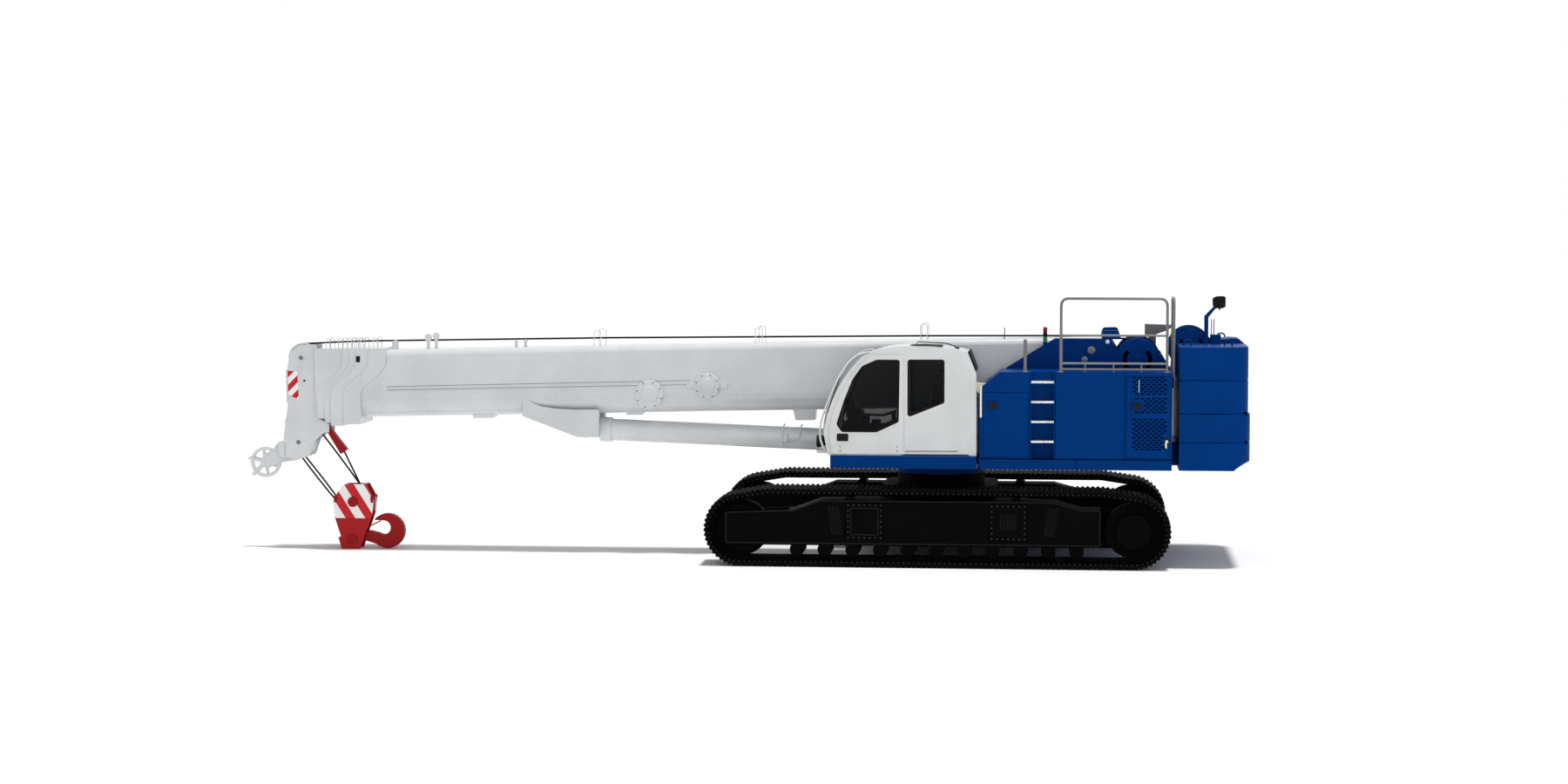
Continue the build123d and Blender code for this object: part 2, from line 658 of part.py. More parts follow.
def housing_door(side, name, front_x, rear_x, top_z):
    """Flush service door, hinged at its rear edge."""
    with BuildPart() as leaf:
        with BuildSketch(side_plane(side * BODY_Y)):
            with Locations(((front_x + rear_x) / 2, (DOOR_LOW_Z + top_z) / 2)):
                Rectangle(front_x - rear_x, top_z - DOOR_LOW_Z)
        extrude(amount=side * (HOUSING_WALL - 5))
        pin_y = BODY_Y + KNUCKLE_RADIUS + FIT
        for level in (DOOR_LOW_Z + 120, top_z - 220):
            with BuildSketch(Plane.XY.offset(level)):
                with Locations((rear_x - DOOR_GAP / 2, side * pin_y)):
                    Circle(KNUCKLE_RADIUS)
                with Locations((rear_x + 18, side * (BODY_Y + 4))):
                    Rectangle(42, 8)
            extrude(amount=100)
        with BuildSketch(side_plane(side * BODY_Y)):
            with Locations((front_x - 130, 2320)):
                Rectangle(165, 115)
        extrude(amount=-side * 12)
    save(leaf, name)


def engine():
    """Engine as one block on its mounts in the right housing."""
    with BuildPart() as block:
        with BuildSketch(Plane.XY.offset(SILL_TOP_Z + HOUSING_WALL)):
            with Locations((-2300, -(HOUSING_INNER_Y + BODY_Y) / 2)):
                Rectangle(1500, 620)
        extrude(amount=980)
        chamfer(block.edges().filter_by(Axis.Z), 60)
    save(block, "engine")


def tank():
    """Fuel and oil tank on the right front platform."""
    with BuildPart() as box:
        with BuildSketch(Plane.XY.offset(CAB_FLOOR_Z)):
            with Locations((60, -(560 + BODY_Y) / 2)):
                RectangleRounded(1220, BODY_Y - 560, 90)
        extrude(amount=800)
        fillet(box.faces().sort_by(Axis.Z)[-1].edges(), 40)
        with Locations((300, -1030, CAB_FLOOR_Z + 800)):
            Cylinder(70, 50, align=(Align.CENTER, Align.CENTER, Align.MIN))
    save(box, "tank")


def ballast():
    """Four cast counterweight slabs; the top one has the notch for the second winch."""
    for number, (low, high) in enumerate(zip(SLAB_LEVELS, SLAB_LEVELS[1:]), start=1):
        with BuildPart() as slab:
            with BuildSketch(Plane.XY.offset(low)):
                with Locations(((BALLAST_FRONT_X + BALLAST_REAR_X) / 2, 0)):
                    Rectangle(BALLAST_FRONT_X - BALLAST_REAR_X, 2 * BODY_Y)
                fillet(vertices().group_by(Axis.X)[0], BALLAST_CORNER)
            extrude(amount=high - low)
            if number == len(SLAB_LEVELS) - 1:
                with BuildSketch(Plane.XY.offset(low)):
                    with Locations(((BALLAST_FRONT_X + NOTCH_REAR_X) / 2, 0)):
                        Rectangle(BALLAST_FRONT_X - NOTCH_REAR_X, 2 * NOTCH_Y)
                extrude(amount=high - low, mode=Mode.SUBTRACT)
            if number == 1:
                chamfer(slab.edges().filter_by(Axis.Y).group_by(Axis.Z)[0], 60)
        save(slab, f"counterweight_{number}")


MAIN_DRUM = (-2880.0, 2910.0, 335.0)       # centre X, centre Z, radius of the flanges
AUX_DRUM = (-3630.0, 3090.0, 316.0)
WINCH_PLATE_Y = (300.0, 330.0)


def drum(name, centre, reach, flange=28.0):
    """Rope drum with two flanges and stub shafts that reach its side plates."""
    with BuildPart() as spool:
        with BuildSketch(side_plane(0)):
            with Locations(centre[:2]):
                Circle(centre[2] - 70)
        extrude(amount=reach - 40, both=True)
        for side in (1, -1):
            with BuildSketch(side_plane(side * (reach - 25))):
                with Locations(centre[:2]):
                    Circle(centre[2])
            extrude(amount=side * flange)
        with BuildSketch(side_plane(0)):
            with Locations(centre[:2]):
                Circle(70)
        extrude(amount=reach - FIT, both=True)
    save(spool, name)


def winch_frame():
    """Bracket of the second winch, bolted to the rear of the tower plates."""
    with BuildPart() as bracket:
        for side in (1, -1):
            with BuildSketch(side_plane(side * sum(WINCH_PLATE_Y) / 2)):
                with BuildLine():
                    Polyline((DECK_REAR_X - 30, 2700), (-3860, 2700), (-3860, 3000), (-3720, 3180),
                             (-3540, 3180), (DECK_REAR_X - 30, 2860), close=True)
                make_face()
            extrude(amount=(WINCH_PLATE_Y[1] - WINCH_PLATE_Y[0]) / 2, both=True)
        with BuildSketch(Plane.YZ.offset(DECK_REAR_X - 50)):
            with Locations((0, 2650)):
                Rectangle(2 * TOWER_OUTER_Y - 40, 260)
        extrude(amount=50)
    save(bracket, "winch_frame")


def handrails():
    """Roof railings of the two housings, in bent tube."""
    radius = 20.0
    rail_y = 1450.0
    front, rear, top, bend = -1763.0, -3265.0, 3845.0, 110.0
    with BuildPart() as rails:
        for side in (1, -1):
            with BuildLine(side_plane(side * rail_y)) as hoop:
                FilletPolyline((front, HOUSING_TOP_Z), (front, top), (rear, top), (rear, HOUSING_TOP_Z),
                               radius=bend)
            with BuildSketch(Plane(origin=hoop.line @ 0, z_dir=hoop.line % 0)):
                Circle(radius)
            sweep()
            for level in (3320.0, 2920.0):
                with BuildSketch(Plane.YZ.offset(rear)):
                    with Locations((side * rail_y, level)):
                        Circle(radius - 3)
                extrude(amount=front - rear)
            with BuildLine(Plane.YZ.offset(DECK_REAR_X - radius - FIT)) as end:
                FilletPolyline((side * 1400, HOUSING_TOP_Z - 60), (side * 1400, top), (side * 700, top),
                               (side * 700, HOUSING_TOP_Z - 60), radius=bend)
            with BuildSketch(Plane(origin=end.line @ 0, z_dir=end.line % 0)):
                Circle(radius)
            sweep()
    save(rails, "handrails")


def ladder():
    """Bright-edged treads let into the left housing."""
    width = LADDER_X[0] - LADDER_X[1]
    with BuildPart() as treads:
        with Locations(*[(sum(LADDER_X) / 2, BODY_Y - LADDER_DEPTH, z) for z in LADDER_STEPS_Z]):
            Box(width - 2, LADDER_DEPTH - 15, 30, align=(Align.CENTER, Align.MIN, Align.MAX))
    save(treads, "ladder_treads")


def roof_fittings():
    """Lamp mast, exhaust tray and signal column on the upper works."""
    with BuildPart() as fittings:
        with Locations((-3826, 450, SLAB_LEVELS[-1])):
            Box(60, 60, 380, align=(Align.CENTER, Align.CENTER, Align.MIN))
        with Locations((-3960, 450, 3560)):
            Box(330, 60, 60)
        with Locations((-4080, 450, 3590)):
            Cylinder(32, 110, align=(Align.CENTER, Align.CENTER, Align.MIN))
        with Locations((-4060, 450, 3700)):
            Box(140, 130, 150, align=(Align.CENTER, Align.CENTER, Align.MIN))
        with Locations((-3200, -1000, HOUSING_TOP_Z)):
            Cylinder(80, 560, align=(Align.CENTER, Align.CENTER, Align.MIN))
        with BuildSketch(side_plane((TOWER_INNER_Y + TOWER_OUTER_Y) / 2)):
            with BuildLine():
                Polyline((-1500, tower_slope(-1500)), (-1500, 3190), (-1560, 3190),
                         (-1560, tower_slope(-1560)), close=True)
            make_face()
        extrude(amount=30, both=True)
        with Locations((-1530, (TOWER_INNER_Y + TOWER_OUTER_Y) / 2, 3190)):
            Cylinder(26, 205, align=(Align.CENTER, Align.CENTER, Align.MIN))
    save(fittings, "roof_fittings")


# ---- Boom -----------------------------------------------------------------------------
# Each telescopic section: name, rear end, front of its mouth, collar depth below, collar width.
SECTION_TABLE = (
    ("boom_base", -180.0, 11125.0, 90.0, 788.0),
    ("boom_section_2", 420.0, 11326.0, 110.0, 730.0),
    ("boom_section_3", 560.0, 11422.0, 60.0, 672.0),
    ("boom_section_4", 700.0, 11540.0, 0.0, 614.0),
    ("boom_section_5", 840.0, 11570.0, -30.0, 556.0),
)


def section_size(index):
    """Width, top height, bottom height, top corner and bottom corner of a section's outside."""
    step = index * (BOOM_WALL + SECTION_GAP)
    top, low = BOOM_TOP - step, BOOM_TOP - BOOM_DEPTH + step
    return BOOM_WIDTH - 2 * step, top, low, TOP_CORNER, BOTTOM_CORNER - index * CORNER_STEP


def section_profile(index, grow):
    """Cross section of a boom section, grown outwards."""
    width, top, low, top_corner, low_corner = section_size(index)
    half = width / 2 + grow
    with BuildSketch() as outline:
        with BuildLine():
            FilletPolyline((-half, low - grow), (half, low - grow), (half, top + grow), (-half, top + grow),
                           close=True, radius=[low_corner + grow, low_corner + grow,
                                               top_corner + grow, top_corner + grow])
        make_face()
    return outline.sketch


def mouth_line(front, low):
    """Front edge of a section's mouth: upright below, stepped back above its middle."""
    return [(front, low), (front, -480), (front - 40, -370), (front - 290, -180),
            (front - 390, -50), (front - 415, BOOM_TOP + COLLAR_LIFT)]


def collar_outline(index):
    """Side outline of a section's collar, between its own mouth and the one behind."""
    name, rear, front, depth, width = SECTION_TABLE[index]
    low = BOOM_TOP - BOOM_DEPTH - depth
    ahead = mouth_line(front, low)
    if index == SECTION_COUNT - 1:
        ahead = [(front, low), (front, BOOM_TOP + COLLAR_LIFT)]
    behind = mouth_line(SECTION_TABLE[index - 1][2] + FIT if index else COLLAR_REAR, low)
    with BuildSketch() as outline:
        with BuildLine():
            Polyline(*ahead, *reversed(behind), close=True)
        make_face()
    return outline.sketch


def mouth_cut(index):
    """Everything ahead of a section's mouth, for trimming its tube."""
    front = SECTION_TABLE[index][2]
    edge = mouth_line(front, BOOM_TOP - 2 * BOOM_DEPTH)
    with BuildSketch() as outline:
        with BuildLine():
            Polyline(*edge, (front + 500, edge[-1][1]), (front + 500, edge[0][1]), close=True)
        make_face()
    return outline.sketch


def boom_tubes():
    """The five telescopic sections, each a tube with a collar round its mouth."""
    for index, (name, rear, front, depth, collar_width) in enumerate(SECTION_TABLE):
        last = index == SECTION_COUNT - 1
        with BuildPart() as tube:
            with BuildSketch(boom_cross(rear)):
                add(section_profile(index, 0))
            extrude(amount=front - rear)
            with BuildSketch(boom_side(0)):
                add(collar_outline(index))
            extrude(amount=collar_width / 2, both=True)
            if index == 0:
                add(foot_bevel(), mode=Mode.SUBTRACT)
                add(foot_bosses())
                add(lift_bracket())
            if not last:
                with BuildSketch(boom_side(0)):
                    add(mouth_cut(index))
                extrude(amount=BOOM_WIDTH, both=True, mode=Mode.SUBTRACT)
            with BuildSketch(boom_cross(rear - 10)):
                add(section_profile(index, -BOOM_WALL))
            extrude(amount=front - rear + 20, mode=Mode.SUBTRACT)
            if index:
                add(rear_pads(index))
            if last:
                add(head())
            else:
                add(mouth_pads(index))
        save(tube, name)


def foot_bevel():
    """Wedge cut from under the rear end of the base section."""
    low = BOOM_TOP - BOOM_DEPTH
    with BuildPart() as wedge:
        with BuildSketch(boom_side(0)):
            with BuildLine():
                Polyline((-400, low - 20), (FOOT_BEVEL, low - 20), (FOOT_BEVEL, low), (-180, -230),
                         (-400, -230), close=True)
            make_face()
        extrude(amount=BOOM_WIDTH, both=True)
    return wedge.part


def foot_bosses():
    """Bosses that fill the space to the tower plates, and the stub pins through them."""
    inside = BOOM_WIDTH / 2 - BOOM_WALL
    with BuildPart() as bosses:
        for side in (1, -1):
            with BuildSketch(boom_side(side * inside)):
                Circle(150)
            extrude(amount=-side * (TOWER_INNER_Y - CLEAR - inside))
            with BuildSketch(boom_side(side * inside)):
                Circle(PIN_RADIUS)
            extrude(amount=-side * (TOWER_OUTER_Y + 12 - inside))
    return bosses.part


def lift_bracket():
    """Two deep cheeks under the base section, open below, that take the rod's eye."""
    eye = boom_xz((EYE_X, EYE_Z))
    low = BOOM_TOP - BOOM_DEPTH
    with BuildPart() as cheeks:
        for side in (1, -1):
            with BuildSketch(boom_side(side * (BRACKET_Y[0] + BRACKET_Y[1]) / 2)):
                with BuildLine():
                    Polyline((eye[0] - 238, low + 60), (eye[0] + 905, low + 60), (eye[0] + 905, low - 10),
                             (eye[0] + 82, eye[1] - 105), (eye[0] - 238, eye[1] - 105), close=True)
                make_face()
            extrude(amount=(BRACKET_Y[1] - BRACKET_Y[0]) / 2, both=True)
    return cheeks.part


def rear_pads(index):
    """Slide pads on the rear end of a section, a running fit inside the one outside it."""
    width, top, low, top_corner, low_corner = section_size(index)
    reach = SECTION_GAP - FIT
    with BuildPart() as pads:
        with BuildSketch(boom_cross(SECTION_TABLE[index][1] + PAD_SETBACK)):
            with Locations((width / 2 + reach / 2, 0), (-width / 2 - reach / 2, 0)):
                with Locations((0, (top + low) / 2 + 80)):
                    Rectangle(reach, PAD_WIDTH)
            with Locations((width / 2 - top_corner - 60, top + reach / 2),
                           (60 + top_corner - width / 2, top + reach / 2)):
                Rectangle(PAD_WIDTH / 3, reach)
            with Locations((0, low - reach / 2)):
                Rectangle(width - 2 * low_corner, reach)
        extrude(amount=PAD_LENGTH)
    return pads.part


def mouth_pads(index):
    """Slide pads inside a section's mouth, a running fit on the next section."""
    width, top, low, top_corner, low_corner = section_size(index)
    inner = section_size(index + 1)
    reach = SECTION_GAP - FIT
    side, ceiling, floor = width / 2 - BOOM_WALL, top - BOOM_WALL, low + BOOM_WALL
    with BuildPart() as pads:
        with BuildSketch(boom_cross(SECTION_TABLE[index][2] - MOUTH_PAD_SETBACK)):
            with Locations((side - reach / 2, (top + low) / 2 + 80), (reach / 2 - side, (top + low) / 2 + 80)):
                Rectangle(reach, PAD_WIDTH)
            with Locations((inner[0] / 2 - inner[3] - 60, ceiling - reach / 2),
                           (60 + inner[3] - inner[0] / 2, ceiling - reach / 2)):
                Rectangle(PAD_WIDTH / 3, reach)
            with Locations((0, floor + reach / 2)):
                Rectangle(inner[0] - 2 * inner[4], reach)
        extrude(amount=PAD_LENGTH)
    return pads.part


def head_outline():
    """Side outline of the boom head's cheeks."""
    corners = ((9360, 3070), (9360, 2200), (9330, 1960), (9180, 1880), (9180, 1760), (9260, 1750),
               (9392, 1640), (9480, 1405), (9700, 1325), (9870, 1420), (9872, 1700), (9820, 2050),
               (9790, 2303), (9805, 2740), (9760, 2960), (9600, 3070))
    with BuildSketch() as outline:
        with BuildLine():
            Polyline(*[boom_xz(corner) for corner in corners], close=True)
        make_face()
    return outline.sketch


def head():
    """Boom head: two cheeks with cross members, pins and the arm of the small sheave."""
    x, z = LOWER_SHEAVE[:2]
    arm = ((x - 60, z + 60), (x + 70, z + 70), (10230, 1400), (10290, 1240), (10150, 1200),
           (x + 70, z - 110), (x - 60, z - 60))
    with BuildPart() as nose:
        for side in (1, -1):
            with BuildSketch(boom_side(side * sum(HEAD_CHEEK_Y) / 2)):
                add(head_outline())
            extrude(amount=(HEAD_CHEEK_Y[1] - HEAD_CHEEK_Y[0]) / 2, both=True)
            with BuildSketch(boom_side(side * 45)):
                with BuildLine():
                    Polyline(*[boom_xz(corner) for corner in arm], close=True)
                make_face()
            extrude(amount=12, both=True)
        with BuildSketch(boom_side(0)):
            with Locations(boom_xz((9815, 2450))):
                Rectangle(30, 500)
            with Locations(boom_xz((9838, 1850))):
                Rectangle(30, 180)
            with Locations(boom_xz(HEAD_SHEAVE), boom_xz(LOWER_SHEAVE)):
                Circle(HEAD_PIN)
            with Locations(boom_xz(SOCKET_PIN)):
                Circle(SOCKET_PIN_RADIUS)
        extrude(amount=HEAD_CHEEK_Y[0] + 10, both=True)
        with BuildSketch(boom_side(0)):
            with Locations(boom_xz(JIB_BORE)):
                Circle(JIB_BORE_RADIUS)
        extrude(amount=HEAD_CHEEK_Y[1] + 10, both=True, mode=Mode.SUBTRACT)
        with BuildSketch(boom_side(0)):
            with Locations(boom_xz(ROOSTER_SHEAVE)):
                Circle(ROOSTER_PIN)
        extrude(amount=60, both=True)
    return nose.part


def sheave(centre, pin, width, y):
    """Grooved sheave of centre X, centre Z and radius, running on a pin along Y."""
    lip, radius, bore = width / 2, centre[2], pin + FIT
    radial = Plane(origin=(centre[0], y, centre[1]), x_dir=(1, 0, 0), z_dir=(0, 0, 1))
    with BuildPart() as wheel:
        with BuildSketch(radial):
            with BuildLine():
                Polyline((bore, -lip), (radius, -lip), (radius - 24, -lip / 4), (radius - 24, lip / 4),
                         (radius, lip), (bore, lip), close=True)
            make_face()
        revolve(axis=Axis(radial.origin, radial.y_dir))
    return wheel.part


def head_sheaves():
    """Sheaves of the boom head, free on their pins."""
    with BuildPart() as rolls:
        for y in HEAD_SHEAVE_Y:
            add(sheave(HEAD_SHEAVE, HEAD_PIN, 60, y))
            add(sheave(LOWER_SHEAVE, HEAD_PIN, 60, y))
        add(sheave(ROOSTER_SHEAVE, ROOSTER_PIN, 56, 0))
    save(rolls, "head_sheaves")


# ---- Luffing cylinder -----------------------------------------------------------------
def cylinder_pair():
    """Barrel on its lower pin, and rod with the eye that meets the boom."""
    base, eye = Vector(CYLINDER_X, 0, CYLINDER_Z), Vector(EYE_X, 0, EYE_Z)
    axis = (eye - base).normalized()
    length = (eye - base).length
    mouth = length - 220
    square = Plane(origin=base, x_dir=(0, 1, 0), z_dir=axis)
    with BuildPart() as barrel:
        with BuildSketch(square.offset(150)):
            Circle(BARREL_RADIUS)
        extrude(amount=mouth - 150 - GLAND_LENGTH)
        with BuildSketch(square.offset(mouth - GLAND_LENGTH)):
            Circle(GLAND_RADIUS)
        extrude(amount=GLAND_LENGTH)
        with BuildSketch(side_plane(0)):
            with Locations((CYLINDER_X, CYLINDER_Z)):
                Circle(130)
            with BuildLine():
                across = Vector(-axis.Z, 0, axis.X)
                corners = [base + across * 120, base + across * 130 + axis * 160,
                           base - across * 130 + axis * 160, base - across * 120]
                Polyline(*[(p.X, p.Z) for p in corners], close=True)
            make_face()
        extrude(amount=112, both=True)
        with BuildSketch(side_plane(0)):
            with Locations((CYLINDER_X, CYLINDER_Z)):
                Circle(60 + FIT)
        extrude(amount=200, both=True, mode=Mode.SUBTRACT)
        with BuildSketch(square.offset(230)):
            Circle(ROD_RADIUS + FIT)
        extrude(amount=mouth, mode=Mode.SUBTRACT)
    save(barrel, "luffing_barrel")
    with BuildPart() as rod:
        with BuildSketch(square.offset(280)):
            Circle(ROD_RADIUS)
        extrude(amount=length - 280 - 60)
        with BuildSketch(side_plane(0)):
            with Locations((EYE_X, EYE_Z)):
                Circle(135)
        extrude(amount=110, both=True)
        with BuildSketch(side_plane(0)):
            with Locations((EYE_X, EYE_Z)):
                Circle(55)
        extrude(amount=BOOM_WIDTH / 2 - 110 - CLEAR, both=True)
    save(rod, "luffing_rod")


# ---- Hook block -----------------------------------------------------------------------
def wedge_socket():
    """Socket that holds the dead end of the hoist rope, on its pin below the head."""
    pin, end = Vector(*SOCKET_PIN), Vector(*SOCKET_END)
    along = (end - pin).normalized()
    across = Vector(-along.Y, along.X)
    corners = (pin + across * 36, end + across * 62, end - across * 62, pin - across * 36)
    with BuildPart() as socket:
        with BuildSketch(side_plane(0)):
            with BuildLine():
                Polyline(*[(corner.X, corner.Y) for corner in corners], close=True)
            make_face()
            with Locations(SOCKET_PIN):
                Circle(45)
                Circle(SOCKET_PIN_RADIUS + FIT, mode=Mode.SUBTRACT)
        extrude(amount=50, both=True)
    save(socket, "wedge_socket")


def hook_block():
    """Two cheeks over a tapered lower box that holds the crosshead, with a guard behind."""
    inner, outer = BLOCK_CHEEK_Y
    with BuildPart() as block:
        for side in (1, -1):
            with BuildSketch(side_plane(side * (inner + outer) / 2)):
                with BuildLine():
                    Polyline((9118, 475), (9149, 712), (9065, 860), (8985, 970), (8635, 975), (8520, 760),
                             (8544, 545), (8735, 0), (9016, 0), (9066, 165), (9027, 190), close=True)
                make_face()
            extrude(amount=(outer - inner) / 2, both=True)
        with BuildSketch(side_plane(0)):
            with Locations(BLOCK_SHEAVE[:2]):
                Circle(BLOCK_PIN)
        extrude(amount=outer + 14, both=True)
        with BuildSketch(side_plane(0)):
            with BuildLine():
                Polyline((9118, 475), (9027, 190), (9066, 165), (9016, 0), (8976, 0), (9010, 140), (8985, 190),
                         (9070, 475), close=True)
            make_face()
        extrude(amount=inner + 5, both=True)
    save(block, "hook_block")
    with BuildPart() as rolls:
        for y in (-52.0, 52.0):
            add(sheave(BLOCK_SHEAVE, BLOCK_PIN, 80, y))
    save(rolls, "block_sheaves")


def hook():
    """Single hook laid back on its crosshead, the opening towards the block."""
    x, z = HOOK_BOWL
    with BuildPart() as body:
        with BuildSketch(side_plane(0)):
            with Locations(HOOK_BOWL):
                Circle(HOOK_RADIUS)
            with BuildLine():
                Polyline((CROSSHEAD[0], 60), (CROSSHEAD[0], 225), (x + 260, z), (x + 40, z + 20),
                         (x + 10, z - 250), (x + 315, z - 155), close=True)
            make_face()
            with Locations((x + 55, z + 50)):
                Circle(105, mode=Mode.SUBTRACT)
            with BuildLine():
                Polyline((x + 40, z + 155), (x + 195, z + 162), (x + 195, z + 260), (x + 290, z + 260),
                         (x + 290, z), (x + 260, z), (x + 40, z - 54), close=True)
            make_face(mode=Mode.SUBTRACT)
        extrude(amount=52, both=True)
        with BuildSketch(side_plane(0)):
            with Locations(CROSSHEAD):
                Circle(60)
        extrude(amount=BLOCK_CHEEK_Y[0] - FIT, both=True)
    save(body, "hook")


def main():
    """Build and write every piece."""
    for side, word in ((1, "left"), (-1, "right")):
        track(side, f"track_{word}")
        crawler_frame(side, f"crawler_frame_{word}")
        wheels(side, f"crawler_wheels_{word}")
    carbody()
    deck()
    towers()
    cab_shell()
    cab_glass()
    cab_door()
    cab_interior()
    front, rear = (*FRONT_DOOR_X, FRONT_DOOR_TOP_Z), (*REAR_DOOR_X, REAR_DOOR_TOP_Z)
    housing(1, "housing_left", (front, rear), True)
    housing(-1, "housing_right", (rear,), False)
    housing_door(1, "door_left_front", *front)
    housing_door(1, "door_left_rear", *rear)
    housing_door(-1, "door_right_rear", *rear)
    engine()
    tank()
    ballast()
    drum("main_drum", MAIN_DRUM, TOWER_INNER_Y)
    drum("second_drum", AUX_DRUM, WINCH_PLATE_Y[0])
    winch_frame()
    handrails()
    ladder()
    roof_fittings()
    boom_tubes()
    head_sheaves()
    cylinder_pair()
    wedge_socket()
    hook_block()
    hook()


main()
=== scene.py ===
"""Looks for a telescopic crawler crane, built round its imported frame.

Every size is in metres. X runs forwards along the boom, Y to the cab's side and Z up.
"""
import json
import logging
import math
from dataclasses import dataclass, field
from enum import Enum
from typing import Iterable, Sequence

import bmesh
import bpy
import numpy as np
from bpy.types import Material, Node, NodeSocket, NodeTree, Object
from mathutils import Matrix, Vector


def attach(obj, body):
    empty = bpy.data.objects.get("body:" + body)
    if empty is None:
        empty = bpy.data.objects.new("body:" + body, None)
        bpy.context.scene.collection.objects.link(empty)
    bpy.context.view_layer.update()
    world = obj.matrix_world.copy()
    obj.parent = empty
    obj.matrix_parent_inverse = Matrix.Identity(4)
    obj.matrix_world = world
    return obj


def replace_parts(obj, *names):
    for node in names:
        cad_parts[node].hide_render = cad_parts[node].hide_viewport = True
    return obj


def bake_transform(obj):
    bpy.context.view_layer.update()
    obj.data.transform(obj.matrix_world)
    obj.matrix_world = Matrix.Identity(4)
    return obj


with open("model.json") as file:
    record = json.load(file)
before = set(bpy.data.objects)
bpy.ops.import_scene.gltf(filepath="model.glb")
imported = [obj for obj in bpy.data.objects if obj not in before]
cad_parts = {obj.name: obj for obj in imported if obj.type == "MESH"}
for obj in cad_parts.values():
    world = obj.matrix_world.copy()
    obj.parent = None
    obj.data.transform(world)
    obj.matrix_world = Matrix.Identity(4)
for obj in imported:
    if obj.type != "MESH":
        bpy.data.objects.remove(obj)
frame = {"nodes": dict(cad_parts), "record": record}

LOG = logging.getLogger("crane")
SLEW_X = -3.006          # the slewing axis, along X from the middle of the machine
ROOF = 2.795             # height of the housings' roof
BOOM_FALL = 1.3          # degrees by which the boom's top falls towards the head
BOOM_FOOT = (-2.200, 3.245)      # a place on the line of the boom's top, from the slewing axis
HEAD_PIN = (9.590, 2.880)        # axis of the head's upper sheaves, from the slewing axis
CASING_PIN = (9.640, 1.610)      # axis of the head's lower sheaves
REELS = ((4.303, 2.367, 0.214, 0.045), (3.438, 2.503, 0.190, 0.060))   # X, Z, radius and depth
BOOM_SECTIONS = ("boom_base", "boom_section_2", "boom_section_3", "boom_section_4", "boom_section_5")
SIDES = ((1, "left"), (-1, "right"))
FALL_POINTS, RUN_POINTS, ARC_POINTS = 15, 7, 25      # places along a fall, a run and an arc of rope
Array = np.ndarray
Point = tuple[float, float, float]
Shell = tuple[Array, list]       # points and faces
Outline = Sequence[tuple[float, float]]


# ---------------------------------------------------------------- colour and nodes

def linear(colour: str) -> tuple[float, float, float, float]:
    """Turns an sRGB hex colour into linear values.

    Args:
        colour: six hex digits, with or without a leading hash.

    Returns:
        Red, green, blue and an alpha of one.
    """
    digits = colour.lstrip("#")
    srgb = [int(digits[i:i + 2], 16) / 255 for i in (0, 2, 4)]
    return (*(c / 12.92 if c <= 0.04045 else ((c + 0.055) / 1.055) ** 2.4 for c in srgb), 1.0)


def plug(tree: NodeTree, node: Node, inputs: dict) -> None:
    """Fills a node's inputs: output sockets are linked and plain values are written.

    Args:
        tree: the material's node tree.
        node: the node to fill.
        inputs: socket name or number to a value, or to an output socket to link.
    """
    for socket, value in inputs.items():
        if isinstance(value, NodeSocket):
            tree.links.new(value, node.inputs[socket])
        else:
            node.inputs[socket].default_value = value


def add_node(tree: NodeTree, kind: str, inputs: dict | None = None, **settings) -> Node:
    """Adds one shader node, sets it up and links it.

    Args:
        tree: the material's node tree.
        kind: the node's type name.
        inputs: socket name or number to a value, or to an output socket to link.
        **settings: attributes of the node itself.

    Returns:
        The new node.
    """
    node = tree.nodes.new(kind)
    for name, value in settings.items():
        setattr(node, name, value)
    plug(tree, node, inputs or {})
    return node


def new_material(name: str) -> tuple[Material, NodeTree, Node]:
    """Makes an empty node material.

    Args:
        name: the material's name.

    Returns:
        The material, its tree and its Principled shader.
    """
    material = bpy.data.materials.new(name)
    material.use_nodes = True
    tree = material.node_tree
    tree.nodes.clear()
    shader = add_node(tree, "ShaderNodeBsdfPrincipled")
    add_node(tree, "ShaderNodeOutputMaterial", {"Surface": shader.outputs[0]})
    return material, tree, shader


def place_in(tree: NodeTree) -> NodeSocket:
    """Adds the place of a shaded point in its own object."""
    return add_node(tree, "ShaderNodeTexCoord").outputs["Object"]


def noise(tree: NodeTree, size: float, detail: float = 3.0,
          stretch: Point = (1, 1, 1)) -> NodeSocket:
    """Adds a noise pattern whose blotches are a real size across.

    Args:
        tree: the material's node tree.
        size: width of a blotch in metres.
        detail: octaves of finer noise.
        stretch: how much longer the blotches are along X, Y and Z.

    Returns:
        The noise's value socket.
    """
    scale = tuple(1 / s for s in stretch)
    turned = add_node(tree, "ShaderNodeMapping", {"Vector": place_in(tree), "Scale": scale})
    return add_node(tree, "ShaderNodeTexNoise",
                    {"Vector": turned.outputs[0], "Scale": 1 / size, "Detail": detail}).outputs[0]


def ramp(tree: NodeTree, value: NodeSocket, low: float, high: float,
         to_low: float = 0.0, to_high: float = 1.0) -> NodeSocket:
    """Maps a value from one range to another, held at its ends.

    Args:
        tree: the material's node tree.
        value: the socket to map.
        low: the value that becomes to_low.
        high: the value that becomes to_high.
        to_low: the lowest result.
        to_high: the highest result.

    Returns:
        The mapped socket.
    """
    return add_node(tree, "ShaderNodeMapRange", {0: value, 1: low, 2: high, 3: to_low, 4: to_high}).outputs[0]


def blend_colour(tree: NodeTree, amount: NodeSocket | float, first, second) -> NodeSocket:
    """Mixes two colours.

    Args:
        tree: the material's node tree.
        amount: share of the second colour.
        first: a linear colour or a socket.
        second: a linear colour or a socket.

    Returns:
        The mixed colour's socket.
    """
    return add_node(tree, "ShaderNodeMix", {0: amount, 6: first, 7: second}, data_type="RGBA").outputs[2]


